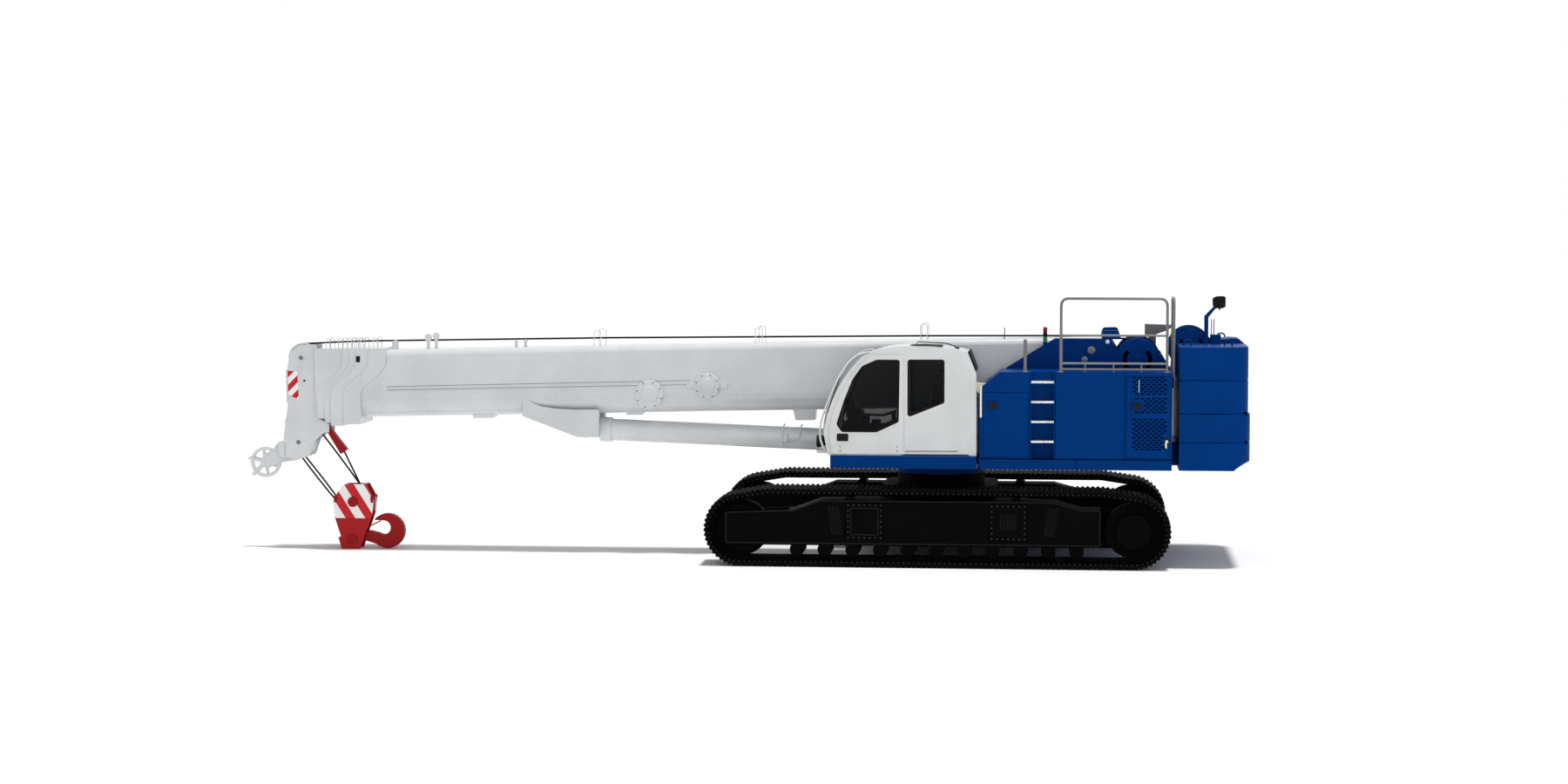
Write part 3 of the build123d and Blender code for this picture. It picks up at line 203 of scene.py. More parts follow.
def patches(tree: NodeTree, size: float, detail: float, edges: tuple[float, float],
            values: tuple[float, float] = (0.0, 1.0), stretch: Point = (1, 1, 1)) -> NodeSocket:
    """Adds blotches that run from one value to another between two levels of noise.

    Args:
        tree: the material's node tree.
        size: width of a blotch in metres.
        detail: octaves of finer noise.
        edges: the noise levels at which the two values are reached.
        values: the two values.
        stretch: how much longer the blotches are along X, Y and Z.

    Returns:
        The value's socket.
    """
    return ramp(tree, noise(tree, size, detail, stretch), *edges, *values)


def bump(tree: NodeTree, height: NodeSocket, strength: float,
         distance: float) -> NodeSocket:
    """Adds relief that only the light sees.

    Args:
        tree: the material's node tree.
        height: the relief's height.
        strength: its strength from 0 to 1.
        distance: its full depth in metres.

    Returns:
        The normal's socket.
    """
    inputs = {"Height": height, "Strength": strength, "Distance": distance}
    return add_node(tree, "ShaderNodeBump", inputs).outputs[0]


def shaded(colour: tuple, share: float) -> tuple:
    """A linear colour darkened to a share of itself."""
    return tuple(c * share for c in colour[:3]) + (1.0,)


# ---------------------------------------------------------------- finishes

BAND = (0.3, 0.7)        # noise levels between which nearly all of a pattern lies

@dataclass(frozen=True)
class Enamel:
    """Two-pack machine enamel, sprayed: a smooth gloss film with faint orange peel and a little dust."""
    name: str
    colour: str
    roughness: float = 0.28
    dust_colour: str = "#8C867C"
    dust: float = 0.10
    peel_mm: float = 9.0       # real peel is 2 mm across; drawn coarser so that it shows
    peel_depth: float = 0.02
    coat: float = 0.25
    gloss: float = 0.5

    def make(self) -> Material:
        """Builds the node material."""
        material, tree, shader = new_material(self.name)
        base = linear(self.colour)
        colour = blend_colour(tree, patches(tree, 0.7, 3.0, (0.35, 0.65)), base, shaded(base, 0.9))
        film = patches(tree, 0.16, 6.0, (0.5, 0.78), (0.0, self.dust))
        plug(tree, shader, {
            "Base Color": blend_colour(tree, film, colour, linear(self.dust_colour)),
            "Roughness": patches(tree, 0.3, 5.0, BAND, (self.roughness - 0.05, self.roughness + 0.09)),
            "Specular IOR Level": self.gloss, "Coat Weight": self.coat, "Coat Roughness": 0.12,
            "Normal": bump(tree, noise(tree, self.peel_mm / 1000, 1.0), self.peel_depth, 0.002)})
        return material


@dataclass(frozen=True)
class StripedEnamel:
    """Warning stripes: slanting bands of reflective film, flat in tone and slightly satin."""
    name: str
    first: str
    second: str
    pitch: float                     # width of one pair of bands in metres
    lean: float = 45.0               # degrees that the line across the bands makes with Z
    offset: float = 0.0
    plain: str = "#A51A1E"
    plain_below: float = -1.0        # height under which the plain colour takes over
    plain_within: float = 0.0        # distance from the middle within which it does so too
    roughness: float = 0.35

    def make(self) -> Material:
        """Builds the node material: band = fract((x sin(lean) + z cos(lean)) / pitch + offset) > 1/2."""
        material, tree, shader = new_material(self.name)
        x, y, z = add_node(tree, "ShaderNodeSeparateXYZ", {0: place_in(tree)}).outputs
        lean = math.radians(self.lean)

        def step(operation: str, *values: object) -> NodeSocket:
            """Adds one step of arithmetic."""
            return add_node(tree, "ShaderNodeMath", dict(enumerate(values)), operation=operation).outputs[0]

        along = step("MULTIPLY_ADD", x, math.sin(lean) / self.pitch, self.offset)
        across = step("MULTIPLY_ADD", z, math.cos(lean) / self.pitch, along)
        band = step("GREATER_THAN", step("FRACT", across), 0.5)
        shown = step("MULTIPLY", step("GREATER_THAN", z, self.plain_below),
                     step("GREATER_THAN", step("ABSOLUTE", y), self.plain_within - 1e-4))
        grime = patches(tree, 0.05, 5.0, (0.5, 0.8), (0.0, 0.10))
        colour = blend_colour(tree, band, linear(self.first), linear(self.second))
        colour = blend_colour(tree, shown, linear(self.plain), colour)
        plug(tree, shader, {"Base Color": blend_colour(tree, grime, colour, linear("#5A5550")),
                            "Roughness": self.roughness, "Specular IOR Level": 0.12})
        return material


@dataclass(frozen=True)
class CastSteel:
    """Cast and worn steel: dark oxide skin, grainy from the mould, rubbed brighter in patches."""
    name: str
    colour: str
    bright: str
    roughness: float = 0.55
    metal: float = 0.6
    grain_mm: float = 6.0            # sand grain is under 1 mm; drawn coarser so that it shows
    worn: float = 0.35
    gloss: float = 0.5

    def make(self) -> Material:
        """Builds the node material."""
        material, tree, shader = new_material(self.name)
        rubbed = patches(tree, 0.06, 6.0, (0.45, 0.75), (0.0, self.worn))
        plug(tree, shader, {
            "Base Color": blend_colour(tree, rubbed, linear(self.colour), linear(self.bright)),
            "Metallic": self.metal, "Specular IOR Level": self.gloss,
            "Roughness": patches(tree, 0.12, 4.0, BAND, (self.roughness - 0.1, self.roughness + 0.15)),
            "Normal": bump(tree, noise(tree, self.grain_mm / 1000, 2.0), 0.12, 0.003)})
        return material


@dataclass(frozen=True)
class Moulded:
    """Injection-moulded ABS or EPDM rubber: even in tone with a fine leathery grain and a dull sheen."""
    name: str
    colour: str
    roughness: float = 0.5
    grain_mm: float = 3.0            # moulded grain is about 1 mm; drawn coarser so that it shows
    grain: float = 0.15

    def make(self) -> Material:
        """Builds the node material."""
        material, tree, shader = new_material(self.name)
        base = linear(self.colour)
        pale = tuple(min(1.0, c * 1.35 + 0.004) for c in base[:3]) + (1.0,)
        tone = patches(tree, 0.09, 4.0, (0.35, 0.7), (0.0, 0.6))
        cells = add_node(tree, "ShaderNodeTexVoronoi",
                         {"Vector": place_in(tree), "Scale": 1000 / self.grain_mm})
        plug(tree, shader,
             {"Base Color": blend_colour(tree, tone, base, pale), "Roughness": self.roughness,
              "Normal": bump(tree, cells.outputs[0], self.grain, 0.0006), "Specular IOR Level": 0.12})
        return material


@dataclass(frozen=True)
class HardChrome:
    """Ground and hard-chromed cylinder rod: a clear mirror with hair-fine marks round it and an oil film."""
    name: str
    colour: str = "#D6D8DA"
    roughness: float = 0.12

    def make(self) -> Material:
        """Builds the node material."""
        material, tree, shader = new_material(self.name)
        film = patches(tree, 0.2, 3.0, (0.4, 0.7), (0.0, 0.25))
        plug(tree, shader, {
            "Roughness": patches(tree, 0.004, 2.0, BAND, (self.roughness, self.roughness + 0.1), (1, 14, 14)),
            "Base Color": blend_colour(tree, film, linear(self.colour), linear("#B9B7AE")), "Metallic": 1.0})
        return material


@dataclass(frozen=True)
class PressedSteel:
    """Galvanised or plain pressed steel: bright, with soft crystal patches and rolled streaks."""
    name: str
    colour: str
    roughness: float = 0.35
    streak: Point = (12, 1, 1)

    def make(self) -> Material:
        """Builds the node material."""
        material, tree, shader = new_material(self.name)
        base = linear(self.colour)
        spangle = patches(tree, 0.03, 3.0, (0.4, 0.6))
        rough = (self.roughness - 0.07, self.roughness + 0.12)
        plug(tree, shader,
             {"Base Color": blend_colour(tree, spangle, base, shaded(base, 0.72)), "Metallic": 1.0,
              "Roughness": patches(tree, 0.004, 2.0, BAND, rough, self.streak)})
        return material


@dataclass(frozen=True)
class TintedGlass:
    """Toughened safety glass with a grey tint: part clear and part gloss, slightly smeared."""
    name: str
    colour: str = "#39434A"
    see_through: float = 0.55

    def make(self) -> Material:
        """Builds the node material: a thin sheet, part clear and part gloss."""
        material, tree, shader = new_material(self.name)
        plug(tree, shader, {"Base Color": linear(self.colour), "IOR": 1.52, "Alpha": 1.0 - self.see_through,
                            "Roughness": patches(tree, 0.25, 4.0, (0.3, 0.8), (0.02, 0.09)),
                            "Specular IOR Level": 0.1})
        return material


@dataclass(frozen=True)
class WovenCloth:
    """Hard-wearing woven seat cloth: two threads in a plain weave with a soft sheen."""
    name: str
    colour: str
    thread: str
    pitch_mm: float = 6.0            # real threads are 1.5 mm; drawn coarser so that they show

    def make(self) -> Material:
        """Builds the node material: a checker of raised threads."""
        material, tree, shader = new_material(self.name)
        weave = add_node(tree, "ShaderNodeTexChecker",
                         {"Vector": place_in(tree), "Scale": 1000 / self.pitch_mm,
                          "Color1": linear(self.colour), "Color2": linear(self.thread)})
        plug(tree, shader, {"Base Color": weave.outputs[0], "Roughness": 0.85, "Sheen Weight": 0.4,
                            "Normal": bump(tree, weave.outputs[1], 0.3, 0.001)})
        return material


@dataclass(frozen=True)
class WireRope:
    """Greased steel wire rope: near black, with the strands' slanting lay catching a little light."""
    name: str = "greased_wire_rope"
    colour: str = "#0A0A0B"
    lay_mm: float = 60.0

    def make(self) -> Material:
        """Builds the node material: strands are diagonal waves of the place in the object."""
        material, tree, shader = new_material(self.name)
        waves = add_node(tree, "ShaderNodeTexWave", {"Vector": place_in(tree), "Scale": 1000 / self.lay_mm},
                         bands_direction="DIAGONAL").outputs["Fac"]
        plug(tree, shader,
             {"Base Color": blend_colour(tree, waves, linear(self.colour), linear("#161617")),
              "Roughness": 0.6, "Specular IOR Level": 0.15, "Normal": bump(tree, waves, 0.5, 0.003)})
        return material


# ---------------------------------------------------------------- shapes

def mesh_object(name: str, points: Array, faces: Iterable[Sequence[int]],
                smooth: float | None = 40.0) -> Object:
    """Puts points and faces into a new object that sits at the origin.

    Args:
        name: the piece's name.
        points: an array of places, one row each.
        faces: corner numbers of each face.
        smooth: edges sharper than this many degrees stay sharp; None leaves the faces flat.

    Returns:
        The new object.
    """
    mesh = bpy.data.meshes.new(name)
    mesh.from_pydata(np.asarray(points, dtype=float).reshape(-1, 3).tolist(), [],
                     [list(map(int, f)) for f in faces])
    mesh.validate()
    piece = bpy.data.objects.new(name, mesh)
    bpy.context.scene.collection.objects.link(piece)
    if smooth is not None:
        mesh.shade_smooth()
        mesh.set_sharp_from_angle(angle=math.radians(smooth))
    return piece


def grid_faces(rows: int, columns: int, close_rows: bool = False, close_columns: bool = True) -> Array:
    """Faces of a grid of points.

    Args:
        rows: number of rows of points.
        columns: points in each row.
        close_rows: joins the last row to the first.
        close_columns: joins each row's last point to its first.

    Returns:
        One row of four corner numbers for each face.
    """
    row, column = np.meshgrid(np.arange(rows if close_rows else rows - 1),
                              np.arange(columns if close_columns else columns - 1), indexing="ij")
    row, column = row.ravel(), column.ravel()
    below, beside = (row + 1) % rows, (column + 1) % columns
    return np.stack([row * columns + column, row * columns + beside, below * columns + beside,
                     below * columns + column], axis=1)


def capped_faces(rows: int, sides: int) -> list:
    """Faces of a closed shell: a grid of rings with one flat face at each end.

    Args:
        rows: number of rings.
        sides: points in each ring.

    Returns:
        Corner numbers of each face.
    """
    last = (rows - 1) * sides
    return grid_faces(rows, sides).tolist() + [list(range(sides))[::-1], list(range(last, last + sides))]


def joined(parts: Sequence[Shell]) -> Shell:
    """Joins several meshes' points and faces.

    Args:
        parts: pairs of points and faces.

    Returns:
        All points in one array, and all faces with their numbers moved on.
    """
    points, faces, count = [], [], 0
    for spots, sides in parts:
        points.append(np.asarray(spots, dtype=float).reshape(-1, 3))
        faces.extend([[int(c) + count for c in side] for side in sides])
        count += len(points[-1])
    return np.concatenate(points), faces


def frames_along(path: Array, closed: bool = False) -> tuple[Array, Array]:
    """Two directions square to a path at each of its points, without twist jumps.

    Args:
        path: points along the path.
        closed: whether its end meets its start.

    Returns:
        The side and the upward direction at every point.
    """
    steps = np.roll(path, -1, axis=0) - np.roll(path, 1, axis=0)
    if not closed:
        steps[0], steps[-1] = path[1] - path[0], path[-1] - path[-2]
    steps /= np.linalg.norm(steps, axis=1, keepdims=True)
    spread = path.max(axis=0) - path.min(axis=0)
    guide = np.eye(3)[int(np.argmin(spread))]
    guide = np.where(np.abs(steps @ guide)[:, None] > 0.95, np.eye(3)[(int(np.argmin(spread)) + 1) % 3],
                     guide)
    side = np.cross(steps, guide)
    side /= np.linalg.norm(side, axis=1, keepdims=True)
    return side, np.cross(side, steps)


def tube_shell(path: Sequence[Point], radius: float, sides: int = 12, closed: bool = False) -> Shell:
    """A round tube: a circle carried along a path, with flat ends.

    Args:
        path: points along the middle of the tube.
        radius: the tube's radius.
        sides: points round the circle.
        closed: whether the tube's end meets its start.

    Returns:
        Points and faces.
    """
    path = np.asarray(path, dtype=float)
    side, up = frames_along(path, closed)
    turn = np.arange(sides) * 2 * np.pi / sides
    ring = np.cos(turn)[None, :, None] * side[:, None, :] + np.sin(turn)[None, :, None] * up[:, None, :]
    points = (path[:, None, :] + radius * ring).reshape(-1, 3)
    if closed:
        return points, grid_faces(len(path), sides, close_rows=True).tolist()
    return points, capped_faces(len(path), sides)


def rounded_path(corners: Sequence[Point], radius: float, steps: int = 6, closed: bool = False) -> Array:
    """A path with its corners rounded, each by a quadratic curve from one side to the other.

    Args:
        corners: the path's corners.
        radius: how far from each corner the curve begins.
        steps: points on each curve.
        closed: whether the last corner joins the first.

    Returns:
        The path's points.
    """
    corners = np.asarray(corners, dtype=float)
    before, after = np.roll(corners, 1, axis=0), np.roll(corners, -1, axis=0)
    into, out = before - corners, after - corners
    into_length, out_length = (np.linalg.norm(v, axis=1, keepdims=True) for v in (into, out))
    start = corners + into / np.maximum(into_length, 1e-9) * np.minimum(radius, into_length * 0.48)
    stop = corners + out / np.maximum(out_length, 1e-9) * np.minimum(radius, out_length * 0.48)
    t = np.linspace(0, 1, steps)[None, :, None]
    curve = (1 - t) ** 2 * start[:, None] + 2 * t * (1 - t) * corners[:, None] + t ** 2 * stop[:, None]
    if closed:
        return curve.reshape(-1, 3)
    return np.concatenate([corners[:1], curve[1:-1].reshape(-1, 3), corners[-1:]])


def rounded_outline(corners: Outline, radius: float) -> Array:
    """A closed flat outline with its corners rounded.

    Args:
        corners: the outline's corners.
        radius: how far from each corner the rounding begins.

    Returns:
        The outline's places.
    """
    return rounded_path([(*corner, 0.0) for corner in corners], radius, closed=True)[:, :2]


def prism_shell(outline: Outline, low: float, high: float, axis: int = 1) -> Shell:
    """A flat outline carried along one axis.

    Args:
        outline: corners in the two other axes, in X, Y, Z order.
        low: the first face's place along the axis.
        high: the second face's place along the axis.
        axis: 0, 1 or 2 for X, Y or Z.

    Returns:
        Points and faces.
    """
    flat = np.asarray(outline, dtype=float)
    points = np.concatenate([np.insert(flat, axis, low, axis=1), np.insert(flat, axis, high, axis=1)])
    return points, capped_faces(2, len(flat))


def box_shell(low: Point, high: Point, bevel: float = 0.0) -> Shell:
    """A box whose upright edges may be cut off at 45 degrees.

    Args:
        low: its lowest corner.
        high: its highest corner.
        bevel: how much of each upright edge is cut off.

    Returns:
        Points and faces.
    """
    (x0, y0, z0), (x1, y1, z1) = low, high
    b = bevel
    outline = [(x0 + b, y0), (x1 - b, y0), (x1, y0 + b), (x1, y1 - b), (x1 - b, y1), (x0 + b, y1),
               (x0, y1 - b), (x0, y0 + b)]
    if not b:
        outline = [(x0, y0), (x1, y0), (x1, y1), (x0, y1)]
    return prism_shell(outline, z0, z1, axis=2)


def turned_shell(profile: Outline, centre: Point, axis: int = 1, sides: int = 32) -> Shell:
    """A profile of places along an axis and radii, turned about that axis; its ends are closed.

    Args:
        profile: pairs of place along the axis and radius.
        centre: a point on the axis.
        axis: 0, 1 or 2 for X, Y or Z.
        sides: points round the circle.

    Returns:
        Points and faces.
    """
    along, radius = np.asarray(profile, dtype=float).T
    turn = np.arange(sides) * 2 * np.pi / sides
    first, second = np.eye(3)[(axis + 1) % 3], np.eye(3)[(axis + 2) % 3]
    ring = np.cos(turn)[:, None] * first + np.sin(turn)[:, None] * second
    points = np.asarray(centre) + along[:, None, None] * np.eye(3)[axis] + radius[:, None, None] * ring[None]
    faces = capped_faces(len(along), sides)
    if along[-1] < along[0]:
        faces = [face[::-1] for face in faces]
    return points.reshape(-1, 3), faces


def side_disc(profile: Outline, x: float, y: float, z: float, side: int,
              sides: int = 32) -> Shell:
    """A cap or plate turned about Y that faces out from one side of the machine.

    Args:
        profile: pairs of distance outwards and radius.
        x: its place along X, from the slewing axis.
        y: its distance from the middle.
        z: its height.
        side: 1 for the left side, -1 for the right one.
        sides: points round the circle.

    Returns:
        Points and faces.
    """
    return turned_shell([(side * out, radius) for out, radius in profile], at(x, side * y, z), sides=sides)


def ring_shell(corners: Outline, width: float, low: float, high: float, radius: float = 0.04,
               axis: int = 1) -> Shell:
    """A flat band that runs round a rounded outline, inside it.

    Each inner point is its outer point moved by the width along the mean of its two edges' inward normals.

    Args:
        corners: the outline's corners.
        width: the band's width.
        low: its first face's place along the axis.
        high: its second face's place along the axis.
        radius: rounding of the corners.
        axis: 0, 1 or 2 for X, Y or Z.

    Returns:
        Points and faces.
    """
    outer = rounded_outline(corners, radius)
    step = np.roll(outer, -1, axis=0) - outer
    step /= np.linalg.norm(step, axis=1, keepdims=True)
    normal = np.stack([-step[:, 1], step[:, 0]], axis=1)
    x, z = outer.T
    if np.sum(x * np.roll(z, -1) - z * np.roll(x, -1)) < 0:
        normal = -normal
    mean = normal + np.roll(normal, 1, axis=0)
    mean /= np.linalg.norm(mean, axis=1, keepdims=True)
    inner = outer + width * mean
    loops = [np.insert(loop, axis, place, axis=1) for loop,
             place in ((outer, low), (outer, high), (inner, high), (inner, low))]
    return np.concatenate(loops), grid_faces(4, len(outer), close_rows=True).tolist()


def bolt_heads(places: Sequence[Point], radius: float, height: float, axis: int = 1,
               sign: float = 1.0) -> Shell:
    """Six-sided bolt heads with a small crown, standing at the given places.

    Args:
        places: the middle of each head's seat.
        radius: distance from the middle to a corner.
        height: how far a head stands out.
        axis: the axis it stands out along.
        sign: 1 or -1, the way it stands out.

    Returns:
        Points and faces of all the heads.
    """
    turn = np.arange(6) * np.pi / 3
    first, second = np.eye(3)[(axis + 1) % 3], np.eye(3)[(axis + 2) % 3]
    ring = np.cos(turn)[:, None] * first + np.sin(turn)[:, None] * second
    lift = np.eye(3)[axis] * sign
    head = np.concatenate([radius * ring, radius * ring + 0.8 * height * lift,
                           0.78 * radius * ring + height * lift])
    return joined([(np.asarray(place) + head, capped_faces(3, 6)) for place in places])


def pad_shell(centre: Point, size: Point, crown: float = 0.25, pull: float = 0.06,
              channels: Sequence[float] = (), tilt: float = 0.0) -> Shell:
    """A stuffed pad: a superellipsoid whose faces are crowned and whose sides pull in between its corners.

    With c = |cos u|^0.45 and s = sgn(sin u)|sin u|^0.7 a point is x = c cos'(v), y = c sin'(v), where the
    dashed functions are raised to 0.35, and z = s (0.8 + crown (1 - x^2)(1 - y^2)). Then x and y shrink by
    pull (1 - the other squared), and each sewn channel at x = g sinks z by 0.16 exp(-((x - g) / 0.05)^2).

    Args:
        centre: the pad's middle.
        size: its length, width and thickness.
        crown: how much the faces bulge.
        pull: how much the sides pull in.
        channels: places of the sewn channels along its length, from -1 to 1.
        tilt: degrees that it leans back about Y.

    Returns:
        Points and faces.
    """
    rows, columns = 26, 56
    u = np.linspace(-1.5705, 1.5705, rows)[:, None]
    v = (np.arange(columns) * 2 * np.pi / columns)[None, :]
    c, s = np.abs(np.cos(u)) ** 0.45, np.sign(np.sin(u)) * np.abs(np.sin(u)) ** 0.7
    x = c * np.sign(np.cos(v)) * np.abs(np.cos(v)) ** 0.35
    y = c * np.sign(np.sin(v)) * np.abs(np.sin(v)) ** 0.35
    z = s * (0.8 + crown * (1 - x ** 2) * (1 - y ** 2)) + 0 * v
    for channel in channels:
        z = z - np.sign(z) * 0.16 * np.exp(-((x - channel) / 0.05) ** 2) * (np.abs(z) > 0.3)
    x, y = x * (1 - pull * (1 - y ** 2)), y * (1 - pull * (1 - x ** 2))
    points = np.stack([x, y, z], axis=-1).reshape(-1, 3) * np.asarray(size) / 2
    turn = math.radians(tilt)
    spun = np.stack([points[:, 0] * math.cos(turn) - points[:, 2] * math.sin(turn), points[:, 1],
                     points[:, 0] * math.sin(turn) + points[:, 2] * math.cos(turn)], axis=1)
    return spun + np.asarray(centre), capped_faces(rows, columns)


def at(x: float, y: float, z: float) -> Point:
    """A place given from the slewing axis, in the machine's own frame."""
    return (x + SLEW_X, y, z)


def span(side: int, near: float, far: float) -> list[float]:
    """The lower and the higher Y of a layer on one side of the machine.

    Args:
        side: 1 for the left side, -1 for the right one.
        near: the layer's distance from the middle.
        far: the distance of its other face.

    Returns:
        The two places in rising order.
    """
    return sorted((side * near, side * far))


def outward(piece: Object) -> Object:
    """Turns every face of a piece outwards.

    Args:
        piece: an object made of closed shells.

    Returns:
        The same object.
    """
    shape = bmesh.new()
    shape.from_mesh(piece.data)
    bmesh.ops.recalc_face_normals(shape, faces=shape.faces)
    shape.to_mesh(piece.data)
    shape.free()
    return piece


def piece(name: str, parts: Sequence[Shell], finish: Material, body: str, slot: str,
          bevel: float = 0.0, smooth: float | None = 40.0) -> Object:
    """Makes one finished piece that rides on a body.

    Args:
        name: the piece's name.
        parts: the shells it is made of.
        finish: its material.
        body: the body it moves with.
        slot: the record's slot its finish comes from; not used.
        bevel: width of the rounding along its edges.
        smooth: the sharp edge angle in degrees, or None for flat faces.

    Returns:
        The piece.
    """
    made = outward(mesh_object(name, *joined(parts), smooth=smooth))
    if bevel:
        rounding = made.modifiers.new("rounding", "BEVEL")
        rounding.width, rounding.segments, rounding.limit_method = bevel, 2, "ANGLE"
    made.data.materials.append(finish)
    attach(made, body)
    LOG.info("piece %s: %d faces on %s", name, len(made.data.polygons), body)
    return made


# ---------------------------------------------------------------- paint

class Slot(Enum):
    """The record's material slots."""
    BOOM = "boom_paint"
    CAB = "cab_paint"
    BODY = "body_blue"
    TOWER = "tower_blue"
    BALLAST = "counterweight_paint"
    UNDERCARRIAGE = "undercarriage_black"
    TRACK = "track_steel"
    RAIL = "rail_grey"
    TREAD = "tread_steel"
    ENGINE = "engine_grey"
    GLASS = "glass"
    SEAT = "seat_cloth"
    CONSOLE = "console_plastic"
    FITTINGS = "fittings_black"
    BARREL = "barrel_paint"
    ROD = "rod_chrome"
    SHEAVE = "sheave_grey"
    WINCH = "winch_grey"
    HOOK = "hook_red"
    BLOCK = "block_red"


BLUE_FILM = {"dust": 0.02, "dust_colour": "#123A7C", "coat": 0.0, "gloss": 0.02}


@dataclass
class Paintwork:
    """Every finish of the machine, one for each slot and a few for trim."""
    finishes: dict[Slot, object] = field(default_factory=lambda: {
        Slot.BOOM: Enamel("boom_grey_enamel", "#D3D6D8", roughness=0.24, dust=0.015),
        Slot.CAB: Enamel("cab_white_enamel", "#DBDDDE", roughness=0.22, dust=0.015),
        Slot.BODY: Enamel("deep_blue_enamel", "#00387E", roughness=0.28, **BLUE_FILM),
        Slot.TOWER: Enamel("tower_blue_enamel", "#00357A", roughness=0.3, **BLUE_FILM),
        Slot.BALLAST: Enamel("ballast_blue_enamel", "#00387E", roughness=0.34, peel_mm=22.0, peel_depth=0.05,
                             **BLUE_FILM),
        # The undercarriage and track blacks are their own black paint and steel, darkened further to #020202
        # as painted shade under the machine.
        Slot.UNDERCARRIAGE: Enamel("undercarriage_black_and_painted_shade", "#020202", roughness=0.6, dust=0.03,
                                   dust_colour="#1C1B1A", coat=0.0, gloss=0.04),
        Slot.TRACK: CastSteel("track_shoe_steel_and_painted_shade", "#020202", "#0B0B0B", roughness=0.7, metal=0.0, worn=0.3,
                              gloss=0.05),
        Slot.RAIL: Enamel("rail_grey_enamel", "#6C6D71", roughness=0.35, dust=0.05),
        Slot.TREAD: PressedSteel("punched_tread_steel", "#D9DBDD"),
        Slot.ENGINE: CastSteel("engine_castings", "#3A3B3D", "#55575A", roughness=0.6, metal=0.3),
        Slot.GLASS: TintedGlass("tinted_safety_glass", "#090B0C", see_through=0.5),
        Slot.SEAT: WovenCloth("woven_seat_cloth", "#202124", "#2F3136"),
        Slot.CONSOLE: Moulded("console_mouldings", "#2E3235"),
        Slot.FITTINGS: Moulded("black_mouldings", "#101112", roughness=0.4),
        Slot.BARREL: Enamel("cylinder_grey_enamel", "#DDE0E2", roughness=0.26, dust=0.015),
        Slot.ROD: HardChrome("hard_chrome_rod"),
        Slot.SHEAVE: Enamel("sheave_grey_enamel", "#DADCDD", roughness=0.34, dust=0.02),
        Slot.WINCH: Enamel("winch_blue_enamel", "#00377C", roughness=0.34, **BLUE_FILM),
        Slot.HOOK: Enamel("dark_red_enamel", "#961418", roughness=0.4, dust_colour="#5A2A28", dust=0.03,
                          coat=0.0, gloss=0.12),
        Slot.BLOCK: StripedEnamel("block_striped_enamel", "#C8232B", "#F2F1EF", pitch=0.255, lean=122.3,
                                  offset=0.759,
                                  plain="#A81A1F", plain_below=0.462, plain_within=0.108),
    })
    made: dict[Slot, Material] = field(default_factory=dict)

    def make(self) -> None:
        """Builds each finish and gives it to the nodes of its slot."""
        self.made = {slot: finish.make() for slot, finish in self.finishes.items()}
        self.rope = WireRope().make()
        self.rubber = Moulded("black_rubber", "#08080A", roughness=0.55).make()
        self.lens = TintedGlass("clear_lens", "#D8DADC", see_through=0.2).make()
        self.stripes = StripedEnamel("head_warning_film", "#C8232B", "#F2F1EF", pitch=0.155, lean=45.0,
                                     offset=0.25).make()
        self.ivory = Moulded("ivory_reflector", "#E8E2C4", roughness=0.2).make()
        self.white = Enamel("white_film", "#F2F2F0", roughness=0.3, dust=0.03, coat=0.0).make()
        # Near-black finish that paints the shade inside gaps, joints and punched holes.
        self.seam = Enamel("shadowed_gaps", "#010206", roughness=0.9, dust=0.0, coat=0.0, gloss=0.0).make()
        self.bolt = CastSteel("zinc_plated_bolts", "#55565A", "#8A8B8E", roughness=0.4, metal=0.8).make()
        self.dark_bolt = CastSteel("oiled_track_nuts", "#2A2A2B", "#4A4A4B", roughness=0.5, metal=0.2,
                                   gloss=0.3).make()
        # A black paler than the undercarriage's, for the bands along the crawler frames' plate edges.
        self.edge = Enamel("paler_black_edges", "#17181A", roughness=0.5, dust=0.0, coat=0.0, gloss=0.2).make()
        self.signal_red = Moulded("red_lamp_lens", "#8E1B1B", roughness=0.2).make()
        self.signal_green = Moulded("green_lamp_lens", "#1E7A34", roughness=0.2).make()
        self.case_blue = Moulded("blue_moulded_case", "#0C2A74", roughness=0.4).make()
        for part in frame["record"]["subparts"]:
            node = frame["nodes"][part["node"]]
            node.data.materials.clear()
            node.data.materials.append(self.made[Slot(part["material_slot"])])
            LOG.info("node %s: %s", part["node"], part["material_slot"])


@dataclass
class Assembly:
    """A group of pieces that takes its finishes from the machine's paintwork."""
    paint: Paintwork

    def add(self, name: str, parts: Sequence[Shell], slot: Slot, body: str = "upperworks",
            finish: Material | None = None, bevel: float = 0.0,
            smooth: float | None = 40.0) -> Object:
        """Makes one piece in its slot's own finish, or in another one where that is given.

        Args:
            name: the piece's name.
            parts: the shells it is made of.
            slot: the record's slot its finish comes from.
            body: the body it moves with.
            finish: its material, where it isn't the slot's own.
            bevel: width of the rounding along its edges.
            smooth: the sharp edge angle in degrees, or None for flat faces.

        Returns:
            The piece.
        """
        return piece(name, parts, finish or self.paint.made[slot], body, slot.value, bevel, smooth)


# ---------------------------------------------------------------- crawlers

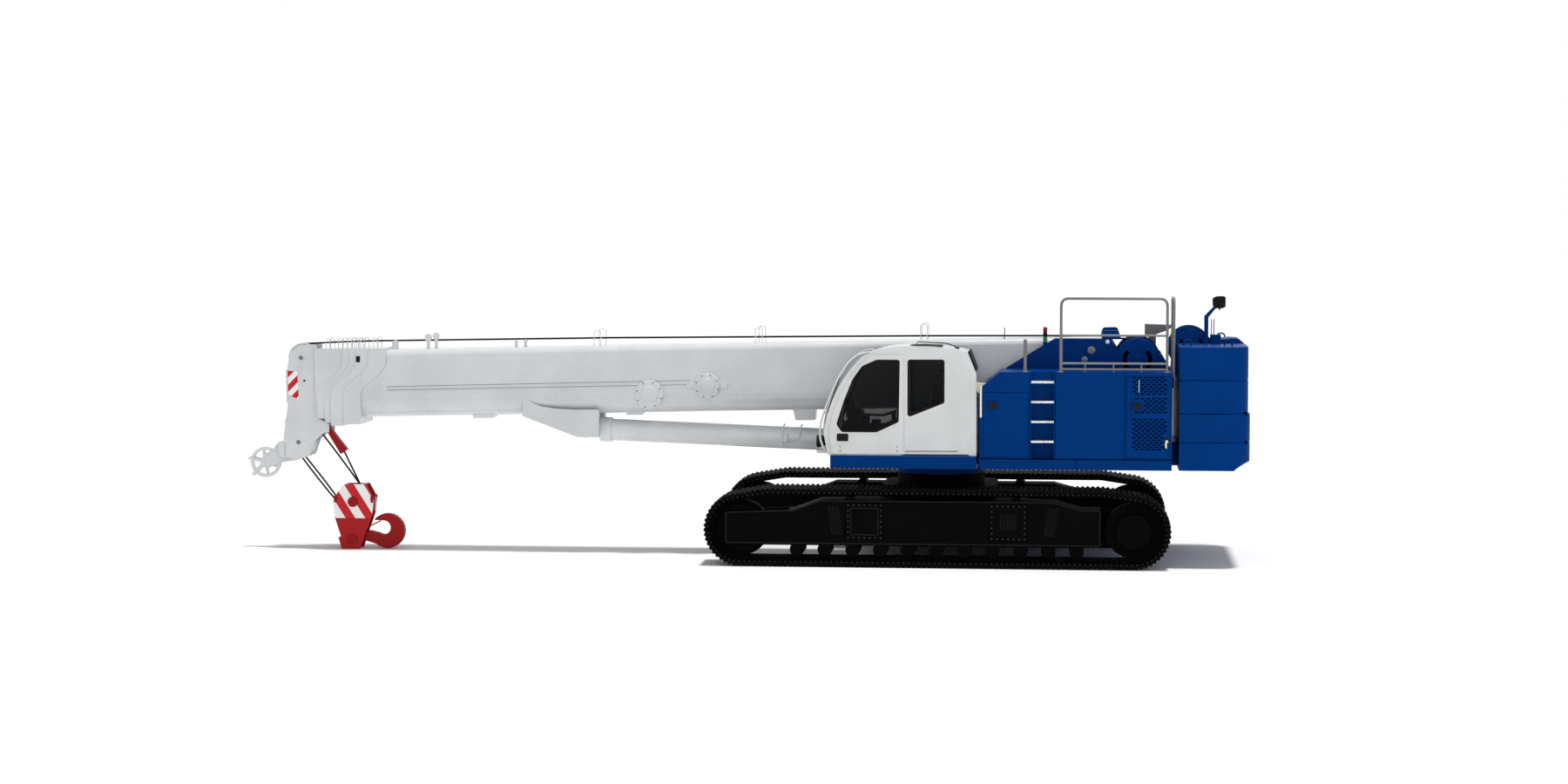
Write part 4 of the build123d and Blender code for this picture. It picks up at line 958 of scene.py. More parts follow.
@dataclass
class Crawlers(Assembly):
    """Nuts under the track shoes, and the bolts of the crawler frames' covers."""
    wheel_x: float = 2.810
    wheel_z: float = 0.530
    top_z: float = 1.130
    top_front: float = 2.400
    top_rear: float = -2.350
    shoe_inset: float = 0.062
    grouser_pitch: float = 0.0738
    track_y: float = 1.370
    shoe_half: float = 0.380
    side_y: float = 1.622
    cover_x: float = 1.027
    cover_z: float = 0.647
    cover_half: float = 0.235        # from a cover's middle to its rows of bolts
    nut_radius: float = 0.013
    nut_height: float = 0.014
    nut_inset: float = 0.024         # from the shoe's end

    def belt(self, inset: float) -> Array:
        """Outline of the track at a given inset, as the furthest points in every direction.

        The belt is the convex hull of two circles and the two ends of its upper run.

        Args:
            inset: distance in from the shoe tips.

        Returns:
            Places in X and Z in order round the belt.
        """
        turn = np.linspace(0, 2 * np.pi, 721)
        arc = (self.wheel_z - inset) * np.stack([np.cos(turn), np.sin(turn)], axis=1)
        spots = np.concatenate([arc + (self.wheel_x, self.wheel_z), arc + (-self.wheel_x, self.wheel_z),
                                [(self.top_front, self.top_z - inset), (self.top_rear, self.top_z - inset)]])
        reach = spots @ np.stack([np.cos(turn), np.sin(turn)])
        order = np.argmax(reach, axis=0)
        order = order[np.insert(np.diff(order) != 0, 0, True)]
        return spots[order]

    def nuts(self, side: int) -> Shell:
        """Nuts along both edges of a track, one under each grouser.

        Args:
            side: 1 for the left track, -1 for the right one.

        Returns:
            Points and faces.
        """
        loop = self.belt(self.shoe_inset)
        loop = np.concatenate([loop, loop[:1]])
        gone = np.insert(np.cumsum(np.linalg.norm(np.diff(loop, axis=0), axis=1)), 0, 0.0)
        where = np.arange(0, gone[-1], self.grouser_pitch) + self.grouser_pitch / 2
        x, z = np.interp(where, gone, loop[:, 0]), np.interp(where, gone, loop[:, 1])
        ahead = np.stack([np.interp(where + 0.01, gone, loop[:, 0]) - x,
                          np.interp(where + 0.01, gone, loop[:, 1]) - z], axis=1)
        ahead /= np.linalg.norm(ahead, axis=1, keepdims=True)
        along = np.stack([ahead[:, 0], 0 * x, ahead[:, 1]], axis=1)
        inward = np.stack([-ahead[:, 1], 0 * x, ahead[:, 0]], axis=1)
        turn = np.arange(6) * np.pi / 3
        across = np.array([0.0, 1.0, 0.0])
        cosine, sine = (wave(turn)[None, :, None] for wave in (np.cos, np.sin))
        ring = cosine * along[:, None] + sine * across
        parts = []
        for edge in (-1, 1):
            seat = np.stack([x + SLEW_X,
                             0 * x + side * self.track_y + edge * (self.shoe_half - self.nut_inset), z],
                            axis=1)
            low = seat[:, None] + self.nut_radius * ring
            high = low + self.nut_height * inward[:, None]
            points = np.concatenate([low, high], axis=1)
            parts += [(nut, capped_faces(2, 6)) for nut in points]
        return joined(parts)

    def frame_bolts(self, side: int) -> Shell:
        """Bolts round the covers of the sliding beams.

        Args:
            side: 1 for the left frame, -1 for the right one.

        Returns:
            Points and faces.
        """
        y, z, half = side * self.side_y, self.cover_z, self.cover_half
        spread = np.linspace(-half, half, 7)
        places = []
        for centre in (self.cover_x, -self.cover_x):
            for s in spread:
                places += [at(centre + s, y, z + half), at(centre + s, y, z - half)]
            places += [at(centre + e, y, z + s) for s in spread[1:-1] for e in (-half, half)]
        return bolt_heads(places, 0.013, 0.010, sign=side)

    def build(self) -> None:
        """Makes the nuts and bolts of both crawlers."""
        for side, word in SIDES:
            body = f"crawler_{word}"
            self.add(f"shoe_nuts_{word}", [self.nuts(side)], Slot.TRACK, body, finish=self.paint.dark_bolt,
                     smooth=None)
            self.add(f"frame_bolts_{word}", [self.frame_bolts(side)], Slot.UNDERCARRIAGE, body,
                     finish=self.paint.dark_bolt, smooth=None)


# ---------------------------------------------------------------- cab

@dataclass
class Cab(Assembly):
    """Trim of the cab: seals, handle, wipers, lamp and what shows through its windows."""
    skin: float = 1.465
    door_skin: float = 1.500
    seal: float = 0.028
    lamp: Point = at(1.690, 1.280, 1.770)
    door_window: tuple = ((1.364, 1.920), (0.862, 1.920), (0.545, 2.070), (0.532, 2.963), (0.864, 2.963),
                          (1.075, 2.868), (1.210, 2.680), (1.330, 2.380), (1.441, 2.035))
    rear_window: tuple = ((0.424, 2.130), (0.424, 2.966), (-0.108, 2.968), (-0.108, 2.345))

    def moved(self, outline: Outline) -> list[tuple[float, float]]:
        """An outline in X and Z given from the slewing axis, in the machine's own frame."""
        return [(x + SLEW_X, z) for x, z in outline]

    def slab(self, outline: Outline, low: float, high: float) -> Shell:
        """A side outline carried from one Y to another."""
        return prism_shell(self.moved(outline), low, high)

    def seals(self) -> None:
        """Black rubber round the door's window and the window behind it, on both sides of the cab."""
        self.add("door_window_seal",
                 [ring_shell(self.moved(self.door_window), self.seal, self.door_skin - 0.004,
                             self.door_skin + 0.004)], Slot.FITTINGS, "cab_door", finish=self.paint.rubber)
        self.add("side_window_seals",
                 [ring_shell(self.moved(self.rear_window), self.seal, self.skin - 0.015, self.skin - 0.0005),
                  ring_shell(self.moved(self.rear_window), self.seal, 0.5598, 0.575),
                  ring_shell(self.moved(self.door_window), self.seal, 0.5598, 0.575)], Slot.FITTINGS,
                 finish=self.paint.rubber)

    def door_trim(self) -> None:
        """Recessed handle and the screws of the door's rollers."""
        low, high = self.door_skin - 0.002, self.door_skin + 0.005
        plate = rounded_outline(self.moved([(1.434, 1.789), (1.434, 1.899), (1.269, 1.899), (1.269, 1.789)]),
                                0.02)
        bar = tube_shell([at(1.415, high + 0.008, 1.850), at(1.30, high + 0.010, 1.850)], 0.008, 8)
        self.add("door_handle", [prism_shell(plate, low, high), bar], Slot.FITTINGS, "cab_door", bevel=0.002)
        spots = [at(x, self.door_skin, z) for x in (1.387, 0.567) for z in (1.713, 1.651)]
        self.add("door_screws", [bolt_heads(spots, 0.009, 0.004)], Slot.FITTINGS, "cab_door",
                 finish=self.paint.rubber, smooth=None)
        rail = self.slab([(0.456, 1.640), (0.456, 1.656), (-0.305, 1.660), (-0.305, 1.644)], self.skin - 0.01,
                         self.skin + 0.0006)
        self.add("door_rail", [rail], Slot.RAIL)
        # A black strip in the rubber finish paints the shadow under the door's rail.
        rail_shadow = self.slab([(0.535, 1.587), (0.450, 1.607), (-0.440, 1.607), (-0.480, 1.587)],
                          self.skin - 0.01, self.skin + 0.0004)
        self.add("door_rail_shadow", [rail_shadow], Slot.FITTINGS, finish=self.paint.rubber)

    def outside(self) -> None:
        """Roof hatch, wipers, rear seal and bracket, and the work lamp."""
        hatch = self.slab([(0.584, 3.10), (0.40, 3.153), (0.20, 3.160), (-0.05, 3.150), (-0.105, 3.09)], 0.80,
                          1.25)
        back = self.slab([(-0.436, 3.074), (-0.462, 3.088), (-0.566, 2.812), (-0.545, 2.786)], 0.66, 1.40)
        self.add("roof_hatch_and_rear_seal", [hatch, back], Slot.FITTINGS, finish=self.paint.rubber,
                 bevel=0.004)
        wipers = [tube_shell(rounded_path([at(0.302, 1.0, 3.200), at(-0.122, 1.0, 3.180),
                                           at(-0.272, 1.0, 3.118)], 0.05), 0.007, 8),
                  tube_shell(rounded_path([at(1.410, 1.2, 2.693), at(1.520, 1.2, 2.409),
                                           at(1.590, 1.2, 2.188), at(1.560, 1.2, 2.10)], 0.05), 0.007, 8),
                  box_shell(at(-0.30, 0.96, 3.085), at(-0.24, 1.04, 3.125), 0.008),
                  tube_shell([at(0.32, 0.80, 3.170), at(0.30, 1.0, 3.196), at(0.32, 1.20, 3.170)], 0.005, 6)]
        self.add("wipers", wipers, Slot.FITTINGS, finish=self.paint.rubber)
        bracket = self.slab([(-0.560, 2.637), (-0.705, 2.628), (-0.674, 2.489), (-0.604, 2.479),
                             (-0.560, 2.52)], 1.36, 1.42)
        self.add("rear_bracket", [bracket], Slot.CAB, finish=self.paint.ivory, bevel=0.006)
        shell = [(-0.108, 0.030), (-0.104, 0.056), (-0.064, 0.061), (-0.050, 0.088), (0.040, 0.090),
                 (0.049, 0.084), (0.049, 0.076), (0.040, 0.074)]
        self.add("work_lamp", [turned_shell(shell, self.lamp, axis=0)], Slot.FITTINGS)
        glass = [(0.036, 0.02), (0.046, 0.075), (0.0475, 0.060), (0.0488, 0.010)]
        self.add("work_lamp_lens", [turned_shell(glass, self.lamp, axis=0)], Slot.GLASS,
                 finish=self.paint.lens)

    def seat(self) -> None:
        """Sprung seat: cushion, back and head pad on a moulded pedestal, in place of the plain block."""
        middle = 1.0125
        pads = {"seat_cushion": pad_shell(at(0.420, middle, 2.005), (0.44, 0.46, 0.15),
                                          channels=(-0.35, 0.15)),
                "seat_back": pad_shell(at(0.060, middle, 2.345), (0.56, 0.44, 0.13),
                                       channels=(-0.4, 0.0, 0.4), tilt=100.0),
                "head_pad": pad_shell(at(-0.004, middle, 2.700), (0.13, 0.27, 0.09), tilt=100.0)}
        for name, shell in pads.items():
            pad = self.add(name, [shell], Slot.SEAT, smooth=60.0)
            if name == "seat_cushion":
                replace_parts(pad, "cab_seat")
        post = self.slab([(0.170, 1.632), (0.480, 1.632), (0.450, 1.70), (0.430, 1.930), (0.200, 1.930),
                          (0.200, 1.70)], 0.86, 1.16)
        pan = box_shell(at(0.21, 0.80, 1.925), at(0.60, 1.225, 1.955), 0.03)
        spine = self.slab([(0.055, 1.99), (0.085, 2.00), (-0.035, 2.62), (-0.058, 2.61)], 0.86, 1.16)
        self.add("seat_pedestal", [post, pan, spine], Slot.CONSOLE, bevel=0.006)

    def inside(self) -> None:
        """Display, side console, levers, armrest and cases behind the glass."""
        display = self.slab([(1.372, 2.353), (1.239, 2.371), (1.200, 2.060), (1.345, 2.080)], 0.78, 0.83)
        armrest = self.slab([(1.160, 2.150), (0.777, 2.135), (0.590, 2.195), (0.597, 2.232), (0.780, 2.168),
                             (1.155, 2.182)], 1.25, 1.33)
        stay = box_shell(at(0.60, 1.255, 1.93), at(0.66, 1.325, 2.20), 0.01)
        bench = box_shell(at(0.700, 0.61, 1.632), at(1.115, 0.84, 1.990), 0.02)
        lever = tube_shell(rounded_path([at(1.10, 1.29, 2.17), at(1.115, 1.29, 2.25), at(1.09, 1.29, 2.31)],
                                        0.03), 0.011, 10)
        knob = turned_shell([(-0.03, 0.006), (-0.02, 0.020), (0.0, 0.024), (0.02, 0.019), (0.03, 0.006)],
                            at(1.09, 1.29, 2.32), axis=2)
        self.add("cab_controls", [display, armrest, stay, bench, lever, knob], Slot.CONSOLE, bevel=0.004)
        cases = [box_shell(at(1.007, 0.70, 1.988), at(1.114, 0.82, 2.124), 0.01),
                 box_shell(at(0.847, 0.70, 1.988), at(0.981, 0.82, 2.053), 0.01)]
        self.add("tool_cases", cases, Slot.CONSOLE, finish=self.paint.case_blue, bevel=0.004)

    def build(self) -> None:
        """Makes all of the cab's trim."""
        self.seals()
        self.door_trim()
        self.outside()
        self.seat()
        self.inside()


# ---------------------------------------------------------------- housings, towers and winches

@dataclass
class Upperworks(Assembly):
    """Trim of the housings, towers, winches, rails and ballast."""
    skin: float = 1.500
    main_drum: Point = at(-2.864, 0.0, 2.930)
    second_drum: Point = at(-3.640, 0.0, 3.100)
    tower_y: float = 0.600

    def strip(self, x: tuple[float, float], z: tuple[float, float], side: int, depth: float = 0.002) -> Shell:
        """A flat strip on a housing's side, proud of it by its depth.

        Args:
            x: its two ends along X, from the slewing axis.
            z: its lower and upper edge.
            side: 1 for the left housing, -1 for the right one.
            depth: how far it stands out.

        Returns:
            Points and faces.
        """
        faces = span(side, self.skin - 0.003, self.skin + depth)
        return box_shell(at(min(x), faces[0], z[0]), at(max(x), faces[1], z[1]))

    def housings(self) -> None:
        """Panel joints and the line along the sill, drawn as dark strips of painted shade; latches, white
        markers and the reflector.
        """
        joints, upright = [], (-1.325, -1.686, -2.667)
        for side in (1, -1):
            joints += [self.strip((x - 0.003, x + 0.003), (1.562, 2.790), side) for x in upright]
            joints += [self.strip((-0.604, -3.338), (1.546, 1.560), side),
                       self.strip((-1.987, -1.981), (1.402, 1.545), side)]
        # The joint strips are painted shade standing for the gaps between panels.
        self.add("panel_joint_shade", joints, Slot.FITTINGS, finish=self.paint.seam)
        self.add("white_marker_left", [self.strip((-0.641, -0.614), (2.145, 2.600), 1)], Slot.CAB,
                 finish=self.paint.white)
        doors = (("door_left_front", -0.790, 1), ("door_left_rear", -2.830, 1),
                 ("door_right_rear", -2.830, -1))
        for name, x, side in doors:
            y = side * (self.skin + 0.012)
            low, high = sorted((y - side * 0.001, y + side * 0.004))
            frame_part = ring_shell([(x - 0.078 + SLEW_X, 2.268), (x + 0.078 + SLEW_X, 2.268),
                                     (x + 0.078 + SLEW_X, 2.372), (x - 0.078 + SLEW_X, 2.372)], 0.010, low,
                                    high, radius=0.015)
            paddle = box_shell(at(x - 0.060, low, 2.282), at(x + 0.012, high, 2.358))
            barrel = turned_shell([(0.0, 0.022), (side * 0.007, 0.022), (side * 0.009, 0.017),
                                   (side * 0.005, 0.012)], at(x + 0.042, y, 2.320))
            self.add(f"latch_{name}", [frame_part, paddle, barrel], Slot.FITTINGS, name)
        self.add("white_marker_door", [self.strip((-2.874, -2.866), (2.515, 2.692), 1, 0.004)], Slot.CAB,
                 "door_left_rear", finish=self.paint.white)
        turn = np.arange(36) * 2 * np.pi / 36
        for name, scale, depth, finish in (("reflector_rim", 1.0, 0.005, self.paint.rubber),
                                           ("reflector", 0.72, 0.008, self.paint.ivory)):
            oval = np.stack([-3.267 + SLEW_X + 0.036 * scale * np.cos(turn),
                             1.777 + 0.086 * scale * np.sin(turn)], axis=1)
            self.add(name, [prism_shell(oval, self.skin - 0.002, self.skin + depth)], Slot.FITTINGS,
                     "door_left_rear", finish=finish, bevel=0.001)

    def winch(self, name: str, centre: Point, radius: float, half: float, body: str) -> None:
        """Rope wound on a drum: r = radius + pitch / 2 |sin(pi (y + half) / pitch)|^0.6, turned about Y.

        Args:
            name: the piece's name.
            centre: the drum's middle.
            radius: radius under the last layer.
            half: half of the wound width.
            body: the body it turns with.
        """
        pitch = 0.024
        y = np.linspace(-half, half, int(2 * half / pitch) * 6 + 1)
        r = radius + 0.5 * pitch * np.abs(np.sin(np.pi * (y + half) / pitch)) ** 0.6
        profile = np.concatenate([[(-half, radius - 0.05)], np.stack([y, r], axis=1),
                                  [(half, radius - 0.05)]])
        self.add(name, [turned_shell(profile, centre, sides=40)], Slot.FITTINGS, body, finish=self.paint.rope)

    def ear_bolts(self, centre: Point, y: float, radius: float, count: int) -> list[Shell]:
        """Rings of bolts on the round plates beside a drum, on both sides."""
        turn = np.arange(count) * 2 * np.pi / count + 0.2
        spots = [(centre[0] + radius * math.cos(t), centre[2] + radius * math.sin(t)) for t in turn]
        return [bolt_heads([(x, side * y, z) for x, z in spots], 0.014, 0.009, sign=side) for side in (1, -1)]

    def towers(self) -> None:
        """Pin caps, the white sight disc and bolts of the tower plates."""
        cap = [(-0.002, 0.046), (0.006, 0.046), (0.009, 0.040), (0.009, 0.012), (0.005, 0.010)]
        caps = [side_disc(cap, -2.100, self.tower_y + 0.012, 2.931, side) for side in (1, -1)]
        self.add("lock_pin_caps", caps, Slot.RAIL)
        big = [(-0.002, 0.056), (0.004, 0.056), (0.006, 0.050), (0.006, 0.014), (0.003, 0.012)]
        caps = [side_disc(big, -2.200, self.tower_y + 0.012, 3.067, side) for side in (1, -1)]
        self.add("foot_pin_caps", caps, Slot.RAIL, "boom_base")
        disc = [(-0.002, 0.030), (0.004, 0.030), (0.006, 0.026), (0.006, 0.005)]
        discs = [side_disc(disc, -2.433, self.tower_y, 3.190, side) for side in (1, -1)]
        self.add("sight_discs", discs, Slot.CAB, finish=self.paint.white)
        self.add("winch_bolts",
                 [*self.ear_bolts(self.main_drum, self.tower_y, 0.280, 14),
                  *self.ear_bolts(self.second_drum, 0.330, 0.250, 12)], Slot.RAIL, finish=self.paint.bolt,
                 smooth=None)

    def fittings(self) -> None:
        """Signal lamps, mast lamp and rods, rail feet, lifting eyes and the tank's cap."""
        foot, y = 3.190, 0.525

        def ring(low: float, high: float) -> Shell:
            """One lens of the signal column between two heights over its foot."""
            profile = [(low, 0.010), (low, 0.028), (low + 0.004, 0.031), (high - 0.004, 0.031), (high, 0.028),
                       (high, 0.010)]
            return turned_shell(profile, at(-1.530, y, foot), axis=2)

        self.add("signal_red", [ring(0.135, 0.207)], Slot.FITTINGS, finish=self.paint.signal_red)
        self.add("signal_green", [ring(0.005, 0.062)], Slot.FITTINGS, finish=self.paint.signal_green)
        self.add("signal_black", [ring(0.064, 0.133)], Slot.FITTINGS, finish=self.paint.rubber)
        self.add("mast_lamp", self.lamp_shell(), Slot.FITTINGS, finish=self.paint.rubber, bevel=0.006)
        rods = [tube_shell([at(x, 0.45, 3.28), at(x, 0.45, 3.52)], 0.007, 8) for x in (-3.931, -3.967)]
        self.add("aerial_rods", rods, Slot.FITTINGS, finish=self.paint.rubber)
        flange = [(0.0, 0.05), (0.010, 0.05), (0.012, 0.044), (0.014, 0.028), (0.040, 0.027)]
        posts = [(-1.763, 1.45), (-3.265, 1.45), (-1.763, -1.45), (-3.265, -1.45), (-1.255, 1.45)]
        self.add("rail_feet", [turned_shell(flange, at(x, s, ROOF), axis=2, sides=24) for x, s in posts],
                 Slot.RAIL)
        eyes = []
        for x, across in ((-3.62, -1.15), (-3.62, 1.04), (-4.20, -1.15), (-4.20, 1.04)):
            bow = [at(x, across, 3.150), at(x, across, 3.245), at(x + 0.11, across, 3.245),
                   at(x + 0.11, across, 3.150)]
            eyes.append(tube_shell(rounded_path(bow, 0.05), 0.012, 10))
        self.add("lifting_eyes", eyes, Slot.BALLAST)
        neck = [(0.0, 0.076), (0.040, 0.080), (0.052, 0.076), (0.056, 0.060), (0.056, 0.010)]
        self.add("tank_cap", [turned_shell(neck, at(0.300, -1.030, 2.385), axis=2)], Slot.FITTINGS)

    def lamp_shell(self) -> list[Shell]:
        """The mast lamp's black case, closed round the solid one, with its yoke."""
        outline = [(-3.946, 3.700), (-3.942, 3.826), (-4.008, 3.852), (-4.128, 3.852), (-4.129, 3.696),
                   (-4.05, 3.668)]
        case = rounded_outline([(x + SLEW_X, z) for x, z in outline], 0.03)
        yoke = tube_shell(rounded_path([at(-4.04, 0.375, 3.76), at(-4.04, 0.375, 3.655),
                                        at(-4.04, 0.525, 3.655), at(-4.04, 0.525, 3.76)], 0.03), 0.008, 8)
        return [prism_shell(case, 0.382, 0.518), yoke]

    def build(self) -> None:
        """Makes all of this trim."""
        self.housings()
        self.towers()
        self.fittings()
        self.winch("main_drum_rope", self.main_drum, 0.262, 0.420, "main_winch")
        self.winch("second_drum_rope", self.second_drum, 0.228, 0.270, "second_winch")


# ---------------------------------------------------------------- boom, cylinder, head and block

@dataclass
class BoomTrim(Assembly):
    """Weld beads, reel bolts, cylinder pipes, the head's film and caps, and the block's caps."""

    def beads(self) -> None:
        """Two long weld beads where the boom's upper and lower shells meet, on both sides."""
        runs = [((3.70, 2.580), (8.25, 2.462)), ((3.70, 2.518), (8.25, 2.410))]
        parts = [tube_shell([at(a[0], y, a[1]), at(b[0], y, b[1])], 0.004, 6) for a,
                 b in runs for y in (0.3605, -0.3605)]
        self.add("boom_weld_beads", parts, Slot.RAIL, "boom_base")

    def reels(self) -> None:
        """Bolts round the reel covers."""
        parts = []
        for (x, z, _, depth), radius in zip(REELS, (0.190, 0.168)):
            turn = np.arange(8) * np.pi / 4 + 0.3
            parts.append(bolt_heads([at(x + radius * math.cos(t), 0.355 + depth,
                                        z + radius * math.sin(t)) for t in turn], 0.011, 0.008))
        self.add("reel_bolts", parts, Slot.RAIL, "boom_base", finish=self.paint.bolt, smooth=None)

    def pipes(self) -> None:
        """Oil pipes on the barrel's side, with their block."""
        y = 0.150
        upright = tube_shell(rounded_path([at(2.305, y - 0.02, 1.93), at(2.330, y + 0.02, 1.90),
                                           at(2.345, y + 0.045, 1.74), at(2.350, y, 1.585)], 0.05), 0.011, 10)
        bent = tube_shell(rounded_path([at(2.045, y - 0.02, 1.92), at(2.075, y + 0.02, 1.895),
                                        at(2.085, y + 0.045, 1.72), at(2.25, y + 0.05, 1.69),
                                        at(2.33, y + 0.045, 1.72)], 0.05), 0.011, 10)
        block = box_shell(at(2.255, y - 0.02, 1.665), at(2.335, y + 0.05, 1.775), 0.012)
        self.add("cylinder_pipes", [upright, bent, block], Slot.BARREL, "luffing_barrel", bevel=0.002)

    def head(self) -> None:
        """Warning film, hub caps and the joint line of the lower casing, a strip of painted shade, on both
        cheeks.
        """
        film, caps, lines = [], [], []
        outline = [(9.802, 2.682), (9.655, 2.670), (9.634, 2.250), (9.793, 2.322)]
        cap = [(0.0, 0.034), (0.006, 0.034), (0.009, 0.028), (0.009, 0.006)]
        for side in (1, -1):
            low, high = span(side, 0.199, 0.203)
            film.append(prism_shell([(x + SLEW_X, z) for x, z in outline], low, high))
            caps += [side_disc(cap, x, 0.218, z, side) for x, z in (HEAD_PIN, CASING_PIN)]
            # The casing's joint line is a thin dark strip of painted shade in the gap.
            low, high = span(side, 0.2095, 0.2115)
            lines.append(box_shell(at(9.850, low, 1.398), at(9.854, high, 1.594)))
        self.add("head_warning_plates", film, Slot.BLOCK, "boom_section_5", finish=self.paint.stripes)
        self.add("head_pin_caps", caps, Slot.RAIL, "boom_section_5")
        self.add("casing_joint_shade", lines, Slot.FITTINGS, "boom_section_5", finish=self.paint.seam)
        tabs = []
        for share in (0.05, 0.35, 0.65, 0.95):
            x, z = 8.870 - share * 0.235, 2.420 + share * 0.190
            tabs += [box_shell(at(x - 0.022, y - 0.006, z - 0.018),
                               at(x + 0.022, y + 0.006, z + 0.018)) for y in (0.394, -0.394)]
        self.add("collar_tabs", tabs, Slot.BOOM, "boom_base", bevel=0.003)
        square = [box_shell(at(8.655, side * 0.3675 - 0.003, 2.825),
                            at(8.715, side * 0.3675 + 0.003, 2.915)) for side in (1, -1)]
        self.add("collar_stops", square, Slot.FITTINGS, "boom_section_2", finish=self.paint.rubber)

    def block(self) -> None:
        """Dark red caps on the block's two pins."""
        cap = [(-0.016, 0.0765), (0.002, 0.0765), (0.004, 0.070), (0.004, 0.010)]
        parts = [side_disc(cap, x, 0.151, z, side) for x, z in ((8.838, 0.707), (8.850, 0.143))
                 for side in (1, -1)]
        self.add("block_pin_caps", parts, Slot.HOOK, "hook_block")

    def build(self) -> None:
        """Makes all of this trim."""
        self.beads()
        self.reels()
        self.pipes()
        self.head()
        self.block()


# ---------------------------------------------------------------- forms beyond the plain solids

def metres(outline: Outline) -> list[tuple[float, float]]:
    """A side outline given in millimetres from the slewing axis, in metres in the machine's frame."""
    return [(x / 1000 + SLEW_X, z / 1000) for x, z in outline]


def boom_top(x: float) -> float:
    """Height of the boom's top at a place along X from the slewing axis, in metres."""
    return BOOM_FOOT[1] - math.tan(math.radians(BOOM_FALL)) * (x - BOOM_FOOT[0])


def turned_ring(profile: Outline, centre: Point, sides: int = 48) -> Shell:
    """A closed section carried round an axis along Y, open in its middle.

    Args:
        profile: distances along the axis and from it, in order round the section.
        centre: the ring's middle.
        sides: number of steps round it.

    Returns:
        Points and faces.
    """
    y, r = np.asarray(profile).T[:, :, None]
    turn = np.arange(sides)[None, :] * 2 * np.pi / sides
    points = np.stack([r * np.cos(turn), y + 0 * turn, r * np.sin(turn)], axis=-1).reshape(-1, 3)
    return points + np.asarray(centre), grid_faces(len(profile), sides, close_rows=True).tolist()


def spoked_wheel(centre: Point, radius: float, half: float, hub: float, spokes: int = 6) -> list[Shell]:
    """A sheave with open spokes: a grooved rim and a hub turned about Y, joined by tapered spokes.

    Args:
        centre: the wheel's middle.
        radius: its outer radius.
        half: half of its width at the rim.
        hub: radius of its hub.
        spokes: number of spokes.

    Returns:
        Parts as points and faces.
    """
    rim = [(-half, radius), (-half, radius - 0.050), (half, radius - 0.050), (half, radius),
           (half - 0.008, radius), (0.003, radius - 0.024), (-0.003, radius - 0.024), (-half + 0.008, radius)]
    middle = [(-half, 0.045), (-half, hub), (half, hub), (half, 0.045)]
    parts = [turned_ring(rim, centre), turned_ring(middle, centre, 32)]
    for turn in np.arange(spokes) * 2 * np.pi / spokes + 0.35:
        out, over = np.array([math.cos(turn), math.sin(turn)]), np.array([-math.sin(turn), math.cos(turn)])
        middle_xz = np.array([centre[0], centre[2]])
        near, far = middle_xz + out * (hub - 0.01), middle_xz + out * (radius - 0.045)
        corners = [near - over * 0.030, far - over * 0.019, far + over * 0.019, near + over * 0.030]
        parts.append(prism_shell(corners, centre[1] - half * 0.45, centre[1] + half * 0.45))
    return parts


